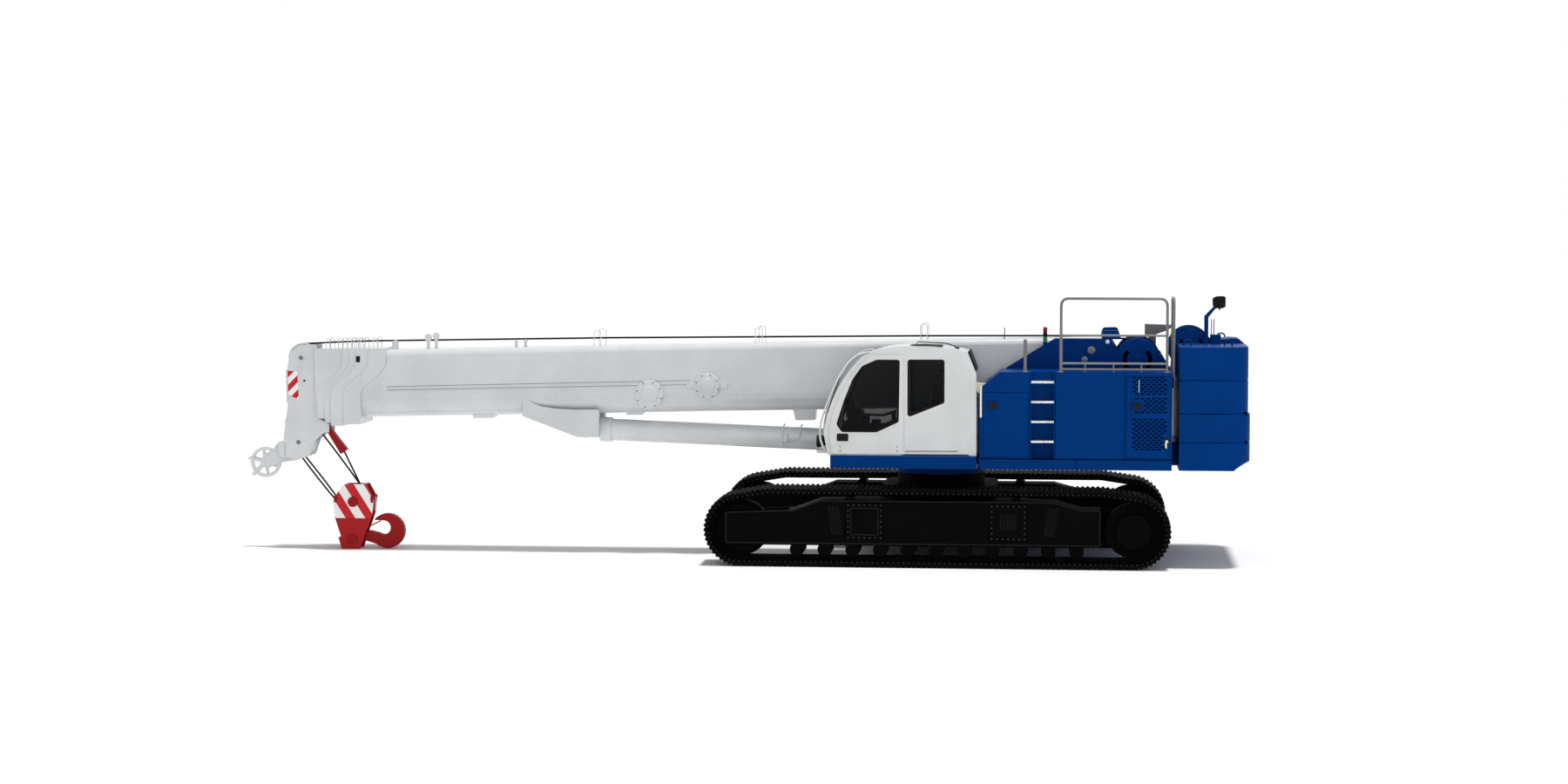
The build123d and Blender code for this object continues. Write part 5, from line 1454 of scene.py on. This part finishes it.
@dataclass
class Superstructure(Assembly):
    """Ballast slabs, mast, exhaust, rails, winch plates and grilles, shaped more finely than the solids."""
    levels: tuple = (1.400, 1.805, 2.214, 2.689, 3.166)
    rail_y: float = 1.450
    tube: float = 0.020
    top: float = 3.845

    def slab(self, number: int) -> Shell:
        """One ballast slab: plan outline with round rear corners, drawn in at its bottom edge.

        Args:
            number: 1 for the lowest slab.

        Returns:
            Points and faces.
        """
        lowest, gap, edge = number == 1, 0.002, 0.010
        low, high = self.levels[number - 1] + gap, self.levels[number] - gap
        rear, front, half, corner = (-4.450 if number < 3 else -4.422), -3.440, 1.500, 0.270
        turn = np.linspace(0, np.pi / 2, 10)
        arc = np.stack([rear + corner - corner * np.sin(turn), half - corner + corner * np.cos(turn)], axis=1)
        outline = np.concatenate([[(front, half)], arc, arc[::-1] * (1, -1), [(front, -half)]])
        if number == 4:
            outline = np.concatenate([outline,
                                      [(front, -0.350), (-4.010, -0.350), (-4.010, 0.350), (front, 0.350)]])
        rise = [0.0, 0.13 if lowest else edge, high - low - edge, high - low]
        inset = [0.23 if lowest else edge, 0.0, 0.0, edge]
        rows = []
        for up, pull in zip(rise, inset):
            row = outline.copy()
            row[:, 0] = np.maximum(row[:, 0], rear + pull)
            if not (lowest and up == 0.0):
                row[:, 1] = np.clip(row[:, 1], pull - half, half - pull)
            rows.append(np.column_stack([row[:, 0] + SLEW_X, row[:, 1], np.full(len(row), low + up)]))
        return np.concatenate(rows), capped_faces(4, len(outline))

    def ballast(self) -> None:
        """Makes the four slabs, each in place of its plain solid, and the low hump on the top one."""
        for number in (1, 2, 3, 4):
            parts = [self.slab(number)]
            if number == 4:
                parts.append(prism_shell(metres([(-4030, 3160), (-4060, 3215), (-4200, 3235), (-4330, 3228),
                                                 (-4412, 3160)]), -0.30, 0.30))
            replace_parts(self.add(f"ballast_slab_{number}", parts, Slot.BALLAST, bevel=0.004),
                        f"counterweight_{number}")
        # Dark slabs inside the ballast paint the shade in the grooves between the slabs.
        core = [box_shell(at(-4.40, -1.42, level - 0.02),
                          at(-3.46, 1.42, level + 0.02)) for level in self.levels[1:3]]
        self.add("ballast_joint_shade", core, Slot.BALLAST, finish=self.paint.seam)

    def mast(self) -> None:
        """Cranked lamp mast, exhaust with its cowl, and the signal column's foot."""
        crank = [(-3827, 3166), (-3825, 3564), (-3955, 3700), (-3975, 3745), (-4045, 3745), (-4045, 3690),
                 (-3985, 3670), (-3885, 3545), (-3885, 3166)]
        foot = box_shell(at(-4.066, 0.395, 3.166), at(-3.912, 0.505, 3.296), 0.01)
        mast = self.add("lamp_mast", [prism_shell(metres(crank), 0.42, 0.48), foot], Slot.TOWER, bevel=0.004)
        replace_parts(mast, "roof_fittings")
        cowl = prism_shell(metres([(-3001, 3392), (-3446, 3380), (-3342, 3301), (-3120, 3221),
                                   (-3002, 3228)]), -1.02, -0.80)
        stack = turned_shell([(0.0, 0.060), (0.46, 0.060), (0.46, 0.050)], at(-3.111, -0.91, ROOF), axis=2)
        self.add("exhaust_cowl", [cowl, stack], Slot.RAIL, bevel=0.008)
        column = prism_shell(metres([(-1500, 3100), (-1500, 3190), (-1560, 3190), (-1560, 3120)]), 0.495,
                             0.555)
        aerial = tube_shell([at(-0.935, 0.30, 3.20), at(-0.935, 0.30, 3.381)], 0.008, 6)
        self.add("signal_foot", [column], Slot.TOWER)
        self.add("boom_foot_aerial", [aerial], Slot.FITTINGS, "boom_base", finish=self.paint.rubber)

    def rails(self) -> None:
        """Bent railings of the left housing and the rear, in place of the plain ones."""
        y, low, tube = self.rail_y, ROOF, self.tube
        hoop = rounded_path([at(-1.763, y, low), at(-1.763, y, self.top), at(-3.265, y, self.top),
                             at(-3.265, y, low)], 0.11)
        end = rounded_path([at(-3.360, 1.40, low - 0.06), at(-3.360, 1.40, self.top),
                            at(-3.360, 0.70, self.top), at(-3.360, 0.70, low - 0.06)], 0.11)
        parts = [tube_shell(hoop, tube, 12), tube_shell(end, tube, 12)]
        parts += [tube_shell([at(-1.763, y, z), at(-3.265, y, z)], 0.016, 10) for z in (3.320, 2.920, 2.837)]
        parts += [tube_shell([at(x, y, low), at(x, y, 2.920)], 0.012, 8) for x in (-2.106, -2.509, -2.903)]
        parts += [turned_shell([(0.0, 0.024), (0.462, 0.024), (0.467, 0.018), (0.467, 0.002)], at(x, y, low),
                               axis=2, sides=20) for x in (-1.255, -1.763)]
        rails = self.add("bent_railings", parts, Slot.RAIL)
        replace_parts(rails, "handrails")

    def ears(self) -> None:
        """Round winch plates with their crescent slots drawn as dark sheets of painted shade, and the rounded
        cap of the towers.
        """
        for side, word in SIDES:
            parts, slots = [], []
            for x, z, y, radius in ((-2.864, 2.930, 0.600, 0.311), (-3.640, 3.100, 0.330, 0.275)):
                plate = [(-0.010, radius), (0.010, radius), (0.012, radius - 0.006), (0.012, 0.075),
                         (0.020, 0.072), (0.020, 0.012)]
                parts.append(side_disc(plate, x, y, z, side, sides=56))
                # Each crescent slot is a dark sheet of painted shade on the plate.
                for middle in (0.0, math.pi):
                    turn = np.linspace(middle - 0.75, middle + 0.75, 14)
                    arc = np.concatenate([[((radius * 0.68) * math.cos(t),
                                            (radius * 0.68) * math.sin(t)) for t in turn],
                                          [((radius * 0.50) * math.cos(t),
                                            (radius * 0.50) * math.sin(t)) for t in turn[::-1]]])
                    faces = span(side, y + 0.0115, y + 0.0135)
                    slots.append(prism_shell(arc + (x + SLEW_X, z), *faces))
            faces = span(side, 0.4875, 0.5625)
            cap = rounded_outline(metres([(-2340, 3225), (-2373, 3352), (-2591, 3358), (-2630, 3225)]), 0.04)
            parts.append(prism_shell(cap, *faces))
            self.add(f"winch_plates_{word}", parts, Slot.TOWER, bevel=0.003)
            self.add(f"winch_plate_slot_shade_{word}", slots, Slot.FITTINGS, finish=self.paint.seam)

    def grille(self, name: str, side: int) -> None:
        """Rows of punched slots in a rear door, drawn as dark boxes of painted shade: 51 by 19 mm, each
        second row shifted by half a pitch.

        Args:
            name: the door's body.
            side: 1 for the left door, -1 for the right one.
        """
        pitch_x, pitch_z = 0.080, 0.033
        row, column = np.meshgrid(np.arange(32), np.arange(7), indexing="ij")
        x = -2.800 - pitch_x * (column + 0.5 * (row % 2))
        z = 2.725 - pitch_z * row
        ribs = ((z > 2.443) & (z < 2.487)) | ((z > 2.150) & (z < 2.200))
        latch = (x > -2.95) & (z > 2.23) & (z < 2.41)
        reflector = (x < -3.20) & (z < 1.95)
        slope = z > 2.62 - 1.2 * (-2.74 - x) - 10 * (z < 2.55)
        kept = (x > -3.270) & (z > 1.690) & ~ribs & ~latch & ~reflector & slope
        # Each slot is a dark box of painted shade on the door, not a hole.
        parts = []
        low, high = span(side, 1.4985, 1.5008)
        for px, pz in zip(x[kept], z[kept]):
            parts.append(box_shell(at(px - 0.0255, low, pz - 0.0095), at(px + 0.0255, high, pz + 0.0095)))
        self.add(f"grille_{name}", parts, Slot.FITTINGS, name, finish=self.paint.seam, smooth=None)

    def build(self) -> None:
        """Makes all of these forms."""
        self.ballast()
        self.mast()
        self.rails()
        self.ears()
        self.grille("door_left_rear", 1)
        self.grille("door_right_rear", -1)


@dataclass
class BoomForms(Assembly):
    """Hoops, brackets, reels and pads of the boom, the head's sheaves and the hook block's guard."""

    def hoop(self, x: float, y: float, height: float, width: float) -> Shell:
        """A bent wire hoop that stands on the boom's top and guides the rope."""
        foot, half = boom_top(x) - 0.02, width / 2
        path = rounded_path([at(x - half, y, foot), at(x - half, y, foot + height),
                             at(x + half, y, foot + height), at(x + half, y, foot)], half - 0.004)
        return tube_shell(path, 0.006, 6)

    def hoops(self) -> None:
        """Hoops of the base section and of each collar, and the upright rope brackets."""
        collars = ((8.470,), (8.665,), (8.760,), (8.862,), (9.002, 9.192))
        for number, (body, places) in enumerate(zip(BOOM_SECTIONS, collars)):
            parts = [self.hoop(x, y, 0.195, 0.062) for x in places for y in (0.15, -0.15)]
            if number == 0:
                parts += [self.hoop(x, y, 0.25, 0.10) for x in (5.093, 2.684, 0.249) for y in (0.25, -0.25)]
            self.add(f"rope_hoops_{body}", parts, Slot.BOOM, body)
        parts = []
        for x, height, half, head in ((8.163, 0.15, 0.050, 0.030), (7.663, 0.235, 0.026, 0.055),
                                      (7.542, 0.250, 0.024, 0.052), (6.330, 0.110, 0.024, 0.030),
                                      (6.190, 0.125, 0.022, 0.030)):
            foot = boom_top(x) - 0.01
            parts.append(box_shell(at(x - half, 0.138, foot), at(x + half, 0.162, foot + height - head * 0.6),
                                   0.004))
            parts.append(turned_shell([(-0.014, 0.01), (-0.014, head), (0.014, head), (0.014, 0.01)],
                                      at(x, 0.15, foot + height - head)))
        self.add("rope_brackets", parts, Slot.BOOM, "boom_base")

    def sides(self) -> None:
        """Cable reels, the pads under the base section and the deep cheeks of the cylinder's bracket."""
        reels = []
        for x, z, radius, depth in REELS:
            profile = [(-0.010, radius), (depth - 0.008, radius), (depth, radius - 0.010),
                       (depth, radius * 0.62), (depth + 0.010, radius * 0.60), (depth + 0.012, radius * 0.56),
                       (depth + 0.012, 0.01)]
            reels.append(turned_shell(profile, at(x, 0.355, z), sides=48))
        reels += [box_shell(at(3.13, 0.355, 2.47), at(3.75, 0.385, 2.54), 0.008),
                  box_shell(at(3.33, 0.36, 2.40), at(3.55, 0.425, 2.60), 0.012)]
        self.add("cable_reels", reels, Slot.BOOM, "boom_base", bevel=0.002)
        pads = [prism_shell(metres([(7010, 2080), (6990, 1985), (6680, 1990), (6660, 2080)]), -0.16, 0.16),
                prism_shell(metres([(4690, 2105), (4670, 2045), (4440, 2050), (4420, 2110)]), -0.16, 0.16),
                prism_shell(metres([(2200, 2190), (2150, 1985), (1860, 1990), (1850, 2200)]), -0.16, 0.16)]
        self.add("transport_pads", pads, Slot.BOOM, "boom_base", bevel=0.006)
        flare = [(6205, 2330), (6080, 2245), (5934, 2185), (5700, 2150), (5411, 2135), (5062, 2140),
                 (5062, 1727), (5382, 1727), (6205, 2036)]
        cheeks = [prism_shell(metres(flare), *span(side, 0.352, 0.366)) for side in (1, -1)]
        self.add("bracket_cheeks", cheeks, Slot.BOOM, "boom_base")

    def head(self) -> None:
        """Spoked sheaves in place of the plain ones, and the small sheave's arm with its fingers."""
        wheels = []
        for y in (-0.095, 0.0, 0.095):
            for x, z in (HEAD_PIN, CASING_PIN):
                wheels += spoked_wheel(at(x, y, z), 0.215, 0.030, 0.085)
        wheels += spoked_wheel(at(10.200, 0.0, 1.290), 0.232, 0.028, 0.070)
        sheaves = self.add("spoked_sheaves", wheels, Slot.SHEAVE, "boom_section_5", bevel=0.002)
        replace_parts(sheaves, "head_sheaves")
        parts = []
        axle = np.array([10.200 + SLEW_X, 1.290])
        for x, z in ((10.456, 1.352), (10.400, 1.094)):
            tip = np.array([x + SLEW_X, z])
            along = (tip - axle) / np.linalg.norm(tip - axle)
            over = np.array([-along[1], along[0]]) * 0.022
            for y in (-0.045, 0.045):
                parts.append(prism_shell([axle - over, tip - over, tip + over, axle + over], y - 0.006,
                                         y + 0.006))
            parts.append(tube_shell([(tip[0] - along[0] * 0.02, -0.05, tip[1] - along[1] * 0.02),
                                     (tip[0] - along[0] * 0.02, 0.05, tip[1] - along[1] * 0.02)], 0.016, 10))
        casing = [(9560, 1600), (9700, 1640), (9910, 1609), (9991, 1600), (10128, 1400), (10200, 1340),
                  (10150, 1215), (9940, 1290), (9700, 1330), (9540, 1400)]
        parts += [prism_shell(metres(casing), *span(side, 0.060, 0.080)) for side in (1, -1)]
        cover = [(9445, 1460), (9573, 1403), (9867, 1382), (9944, 1394), (9961, 1601), (9897, 1633),
                 (9480, 1600)]
        parts += [prism_shell(metres(cover), *span(side, 0.170, 0.210)) for side in (1, -1)]
        self.add("rooster_arm", parts, Slot.BOOM, "boom_section_5", bevel=0.003)
        cap = [(-0.012, 0.057), (0.016, 0.057), (0.018, 0.050), (0.018, 0.010)]
        bosses = [side_disc(cap, x, 0.200, z, side) for x, z in (HEAD_PIN, CASING_PIN) for side in (1, -1)]
        self.add("head_bosses", bosses, Slot.BOOM, "boom_section_5")

    def block(self) -> None:
        """Dark red guard behind the block's sheaves, its top frame and side lugs, and the hook's latch."""
        guard = [(8656, 973), (8600, 948), (8535, 860), (8524, 770), (8540, 560), (8600, 500), (8700, 640),
                 (8838, 668), (8838, 745), (8720, 940)]
        lugs = []
        for x in (8.545, 9.105):
            for side in (1, -1):
                low, high = span(side, 0.134, 0.150)
                lugs.append(box_shell(at(x - 0.022, low, 0.700), at(x + 0.022, high, 0.800), 0.006))
        parts = [prism_shell(metres(guard), -0.006, 0.006),
                 tube_shell([at(8.925, -0.112, 0.940), at(8.925, 0.112, 0.940)], 0.020, 12),
                 tube_shell([at(8.660, -0.112, 0.950), at(8.660, 0.112, 0.950)], 0.016, 12), *lugs]
        self.add("block_guard", parts, Slot.HOOK, "hook_block", bevel=0.002)
        latch = prism_shell(metres([(8586, 352), (8450, 420), (8442, 404), (8578, 334)]), -0.030, 0.030)
        self.add("hook_latch", [latch], Slot.HOOK, "hook", bevel=0.002)

    def build(self) -> None:
        """Makes all of these forms."""
        self.hoops()
        self.sides()
        self.head()
        self.block()


@dataclass
class GuardAndFrames(Assembly):
    """Tube guard and lamp bracket of the cab, and the plate edges and covers of the crawler frames."""
    line: tuple = ((0.950, 3.070), (1.123, 3.040), (1.281, 2.899), (1.404, 2.705), (1.527, 2.423),
                   (1.633, 2.158), (1.672, 1.980), (1.672, 1.800), (1.600, 1.640))

    def guard(self) -> None:
        """The grab tubes before the windscreen with their cross bars, and the lamp's bracket."""
        parts = []
        for y in (0.640, 1.400):
            parts.append(tube_shell(rounded_path([at(x + 0.012, y, z) for x, z in self.line], 0.08), 0.015,
                                    10))
        parts += [tube_shell([at(x + 0.012, 0.64, z), at(x + 0.012, 1.40, z)], 0.010, 8) for x,
                  z in (self.line[3], self.line[5], self.line[7])]
        parts.append(box_shell(at(1.570, 1.220, 1.600), at(1.740, 1.340, 1.640), 0.006))
        parts.append(box_shell(at(1.665, 1.235, 1.640), at(1.685, 1.325, 1.770), 0.004))
        self.add("cab_grab_tubes", parts, Slot.CAB)

    def frames(self) -> None:
        """Thin raised edges on the crawler frames' outer plates, square covers, slats and footholds."""
        edge = [(-2335, 320), (3030, 320), (3030, 765), (2070, 795), (1660, 942), (-1660, 942), (-2070, 832),
                (-2335, 832)]
        for side, word in SIDES:
            low, high = span(side, 1.598, 1.606)
            parts = [ring_shell(metres(edge), 0.010, low, high, radius=0.02)]
            low, high = span(side, 1.618, 1.625)
            parts.append(ring_shell(metres([(827, 452), (1227, 452), (1227, 842), (827, 842)]), 0.008, low,
                                    high, radius=0.02))
            for x in (-1127, -1077, -1027, -977, -927):
                parts.append(ring_shell(metres([(x - 12, 537), (x + 12, 537), (x + 12, 757), (x - 12, 757)]),
                                        0.004, low, high, radius=0.011))
            low, high = span(side, 1.598, 1.606)
            for x, lean in ((1450, -0.14), (-1635, 0.14)):
                for shift in (-55, 0, 55):
                    parts.append(ring_shell(metres([(x + shift - 17 + lean * 200, 455),
                                                    (x + shift + 17 + lean * 200, 455),
                                                    (x + shift + 17 - lean * 200, 855),
                                                    (x + shift - 17 - lean * 200, 855)]), 0.005, low, high,
                                            radius=0.015))
            self.add(f"frame_edges_{word}", parts, Slot.UNDERCARRIAGE, f"crawler_{word}",
                     finish=self.paint.edge)

    def build(self) -> None:
        """Makes the guard and the frames' edges."""
        self.guard()
        self.frames()


# ---------------------------------------------------------------- ropes

@dataclass
class Rigging(Assembly):
    """Hoist rope: from the winch along the boom's top, over the head and down to the hook block."""
    radius: float = 0.014
    groove: float = 0.200
    socket_end: Point = at(8.990, 0.0, 1.455)
    head_front: Point = at(9.640, 0.0, 1.400)
    head_rear: Point = at(9.340, 0.0, 1.700)
    block: Point = at(8.838, 0.0, 0.707)
    head_sheave: Point = at(HEAD_PIN[0], 0.0, HEAD_PIN[1])
    spread: float = 0.052
    head_spread: float = 0.095
    drum_top: Point = at(-2.864, 0.0, 3.204)

    def tangent(self, point: Point, side: int) -> tuple[Point, float]:
        """Where a straight fall from a point meets the block's sheave, and the angle of that place.

        The angle is the point's own bearing plus or minus acos(groove / distance).

        Args:
            point: the fall's upper end.
            side: 1 for the rear of the sheave, -1 for its front.

        Returns:
            The meeting place and its angle in radians.
        """
        dx, dz = point[0] - self.block[0], point[2] - self.block[2]
        angle = math.atan2(dz, dx) + side * math.acos(self.groove / math.hypot(dx, dz))
        return (self.block[0] + self.groove * math.cos(angle), 0.0,
                self.block[2] + self.groove * math.sin(angle)), angle

    def blended(self, name: str, path: Array, sides: int, bodies: tuple[str, str]) -> None:
        """Makes a length of rope in a fixed place; its two bodies are only named in the log.

        Args:
            name: the piece's name.
            path: its middle line, from the first body to the second.
            sides: points round the rope.
            bodies: the two bodies.
        """
        rope = outward(mesh_object(name, *tube_shell(path, self.radius, sides)))
        rope.data.materials.append(self.paint.rope)
        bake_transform(rope)
        LOG.info("piece %s: blended from %s to %s", name, *bodies)

    def fall(self, name: str, top: Point, bottom: Point, y: float, bow: float) -> None:
        """One fall of rope in a fixed place; x is bowed by bow sin(pi t).

        Args:
            name: the piece's name.
            top: its upper end.
            bottom: its lower end at the block.
            y: its place across the head; it closes in to the block's sheave.
            bow: how far its middle hangs out of line.
        """
        t = np.linspace(0, 1, FALL_POINTS)[:, None]
        path = np.asarray(top) + t * (np.asarray(bottom) - np.asarray(top))
        path[:, 1:2] = y + t * (math.copysign(self.spread, y) - y)
        path[:, :1] += bow * np.sin(np.pi * t)
        self.blended(name, path, 10, ("rope_falls", "block_sheaves"))

    def arc(self, centre: Point, first: float, last: float, y: float) -> Array:
        """Places of a rope laid in a sheave's groove, from one angle to another."""
        turn = np.linspace(first, last, ARC_POINTS)
        return np.stack([centre[0] + self.groove * np.cos(turn), 0 * turn + y,
                         centre[2] + self.groove * np.sin(turn)], axis=1)

    def falls(self) -> None:
        """The four falls, and the rope round the block's two sheaves."""
        rear_a, rear_angle_a = self.tangent(self.socket_end, 1)
        rear_b, rear_angle_b = self.tangent(self.head_rear, 1)
        front, front_angle = self.tangent(self.head_front, -1)
        self.fall("dead_end_rope", self.socket_end, rear_a, self.spread / 4, 0.0)
        self.fall("rear_fall", self.head_rear, rear_b, -self.head_spread, -0.008)
        self.fall("front_fall_1", self.head_front, front, self.head_spread, 0.014)
        self.fall("front_fall_2", self.head_front, front, -self.head_spread, -0.010)
        wraps = [tube_shell(self.arc(self.block, angle, front_angle + 2 * math.pi, y), self.radius, 8)
                 for angle, y in ((rear_angle_a, self.spread), (rear_angle_b, -self.spread))]
        self.add("block_rope", wraps, Slot.FITTINGS, "block_sheaves", finish=self.paint.rope)

    def run(self, name: str, first: Point, second: Point, bodies: tuple[str, str]) -> None:
        """One length of rope over the boom in a fixed place, between two bodies.

        Args:
            name: the piece's name.
            first: its end on the first body.
            second: its end on the second body.
            bodies: the two bodies, joined by one joint.
        """
        t = np.linspace(0, 1, RUN_POINTS)[:, None]
        self.blended(name, np.asarray(first) + t * (np.asarray(second) - np.asarray(first)), 8, bodies)

    def top(self) -> None:
        """The rope along the boom's top, one length for each section, and over the head's sheave."""
        marks = [at(8.470, 0, 3.129), at(8.640, 0, 3.124), at(8.760, 0, 3.120), at(8.870, 0, 3.116),
                 at(9.000, 0, 3.111)]
        self.run("winch_rope_lead", self.drum_top, at(-1.719, 0, 3.250), ("upperworks", "boom_base"))
        path = [at(-1.719, 0, 3.250), at(0.267, 0, 3.239), at(4.946, 0, 3.190), marks[0]]
        self.add("boom_top_rope", [tube_shell(path, self.radius, 8)], Slot.FITTINGS, "boom_base",
                 finish=self.paint.rope)
        for number, (first, second) in enumerate(zip(BOOM_SECTIONS, BOOM_SECTIONS[1:])):
            self.run(f"boom_top_rope_{number + 2}", marks[number], marks[number + 1], (first, second))
        over = self.arc(self.head_sheave, math.pi / 2 - 0.05, -0.1, 0.0)
        down = [at(9.815 - 0.03, 0, 2.70), at(9.815 - 0.03, 0, 2.45)]
        self.add("head_rope", [tube_shell(np.concatenate([[marks[-1]], over, down]), self.radius, 8)],
                 Slot.FITTINGS, "boom_section_5", finish=self.paint.rope)

    def build(self) -> None:
        """Makes the falls and the runs along the boom."""
        self.falls()
        self.top()


# ---------------------------------------------------------------- studio

@dataclass
class Studio:
    """Camera, lamps and a pale floor that keeps the shadow."""
    eye: Point = at(-1.8855, 45.0, 5.3108)
    look: Point = (0.0932, -0.9936, -0.0644)
    lens: float = 70.0
    background: str = "#FFFFFF"

    def camera(self) -> None:
        """Adds the camera."""
        data = bpy.data.cameras.new("camera")
        data.lens, data.sensor_width, data.clip_end = self.lens, 36.0, 500.0
        holder = bpy.data.objects.new("camera", data)
        bpy.context.scene.collection.objects.link(holder)
        holder.location = self.eye
        holder.rotation_euler = Vector(self.look).to_track_quat("-Z", "Y").to_euler()
        bpy.context.scene.camera = holder

    def world(self) -> None:
        """Lights the scene softly from all round, with white behind it for the camera, mirrors and glass."""
        world = bpy.data.worlds.new("studio")
        bpy.context.scene.world = world
        world.use_nodes = True
        tree = world.node_tree
        tree.nodes.clear()
        path = add_node(tree, "ShaderNodeLightPath")
        seen = add_node(tree, "ShaderNodeMath",
                        {0: path.outputs["Is Camera Ray"], 1: path.outputs["Is Glossy Ray"]},
                        operation="MAXIMUM")
        seen = add_node(tree, "ShaderNodeMath", {0: seen.outputs[0], 1: path.outputs["Is Transmission Ray"]},
                        operation="MAXIMUM")
        soft = add_node(tree, "ShaderNodeBackground", {"Color": (1, 1, 1, 1), "Strength": 0.36})
        white = add_node(tree, "ShaderNodeBackground", {"Color": linear(self.background), "Strength": 1.0})
        both = add_node(tree, "ShaderNodeMixShader",
                        {0: seen.outputs[0], 1: soft.outputs[0], 2: white.outputs[0]})
        add_node(tree, "ShaderNodeOutputWorld", {"Surface": both.outputs[0]})

    def floor(self) -> None:
        """Adds a broad white floor: pale enough to meet the background, with the shadow on it."""
        half, drop = 160.0, 0.004
        points = np.array([(x, y, -drop) for x,
                           y in ((-half, -half), (half, -half), (half, half), (-half, half))])
        ground = mesh_object("floor", points, [(0, 1, 2, 3)], smooth=None)
        material, tree, shader = new_material("pale_floor")
        tone = ramp(tree, noise(tree, 3.0), 0.3, 0.7, 0.0, 0.02)
        tree.links.new(blend_colour(tree, tone, linear("#F6F6F6"), linear("#EFEFEF")),
                       shader.inputs["Base Color"])
        shader.inputs["Roughness"].default_value = 1.0
        shader.inputs["Specular IOR Level"].default_value = 0.0
        ground.data.materials.append(material)

    def lamp(self, name: str, strength: float, angle: float, towards: Point) -> None:
        """Adds a sun lamp.

        Args:
            name: the lamp's name.
            strength: its strength.
            angle: how wide it is, in degrees.
            towards: the direction its light travels.
        """
        data = bpy.data.lights.new(name, "SUN")
        data.energy, data.angle = strength, math.radians(angle)
        holder = bpy.data.objects.new(name, data)
        bpy.context.scene.collection.objects.link(holder)
        holder.rotation_euler = Vector(towards).to_track_quat("-Z", "Y").to_euler()

    def build(self) -> None:
        """Makes the whole studio."""
        bpy.context.scene.view_settings.view_transform = "Standard"
        self.camera()
        self.world()
        self.floor()
        self.lamp("overhead_sun", 2.4, 6.0, (0.11, -0.05, -1.0))
        self.lamp("side_fill", 0.6, 60.0, (0.25, -1.0, -0.35))
        LOG.info("studio: camera, world, floor and lamps")


def main() -> None:
    """Builds the machine's looks in order."""
    logging.basicConfig(level=logging.INFO, format="%(name)s: %(message)s")
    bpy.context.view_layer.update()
    Studio().build()
    paint = Paintwork()
    paint.make()
    for assembly in (Superstructure(paint), BoomForms(paint), GuardAndFrames(paint), Crawlers(paint),
                     Cab(paint), Upperworks(paint), BoomTrim(paint), Rigging(paint)):
        assembly.build()


if __name__ == "__main__":
    main()
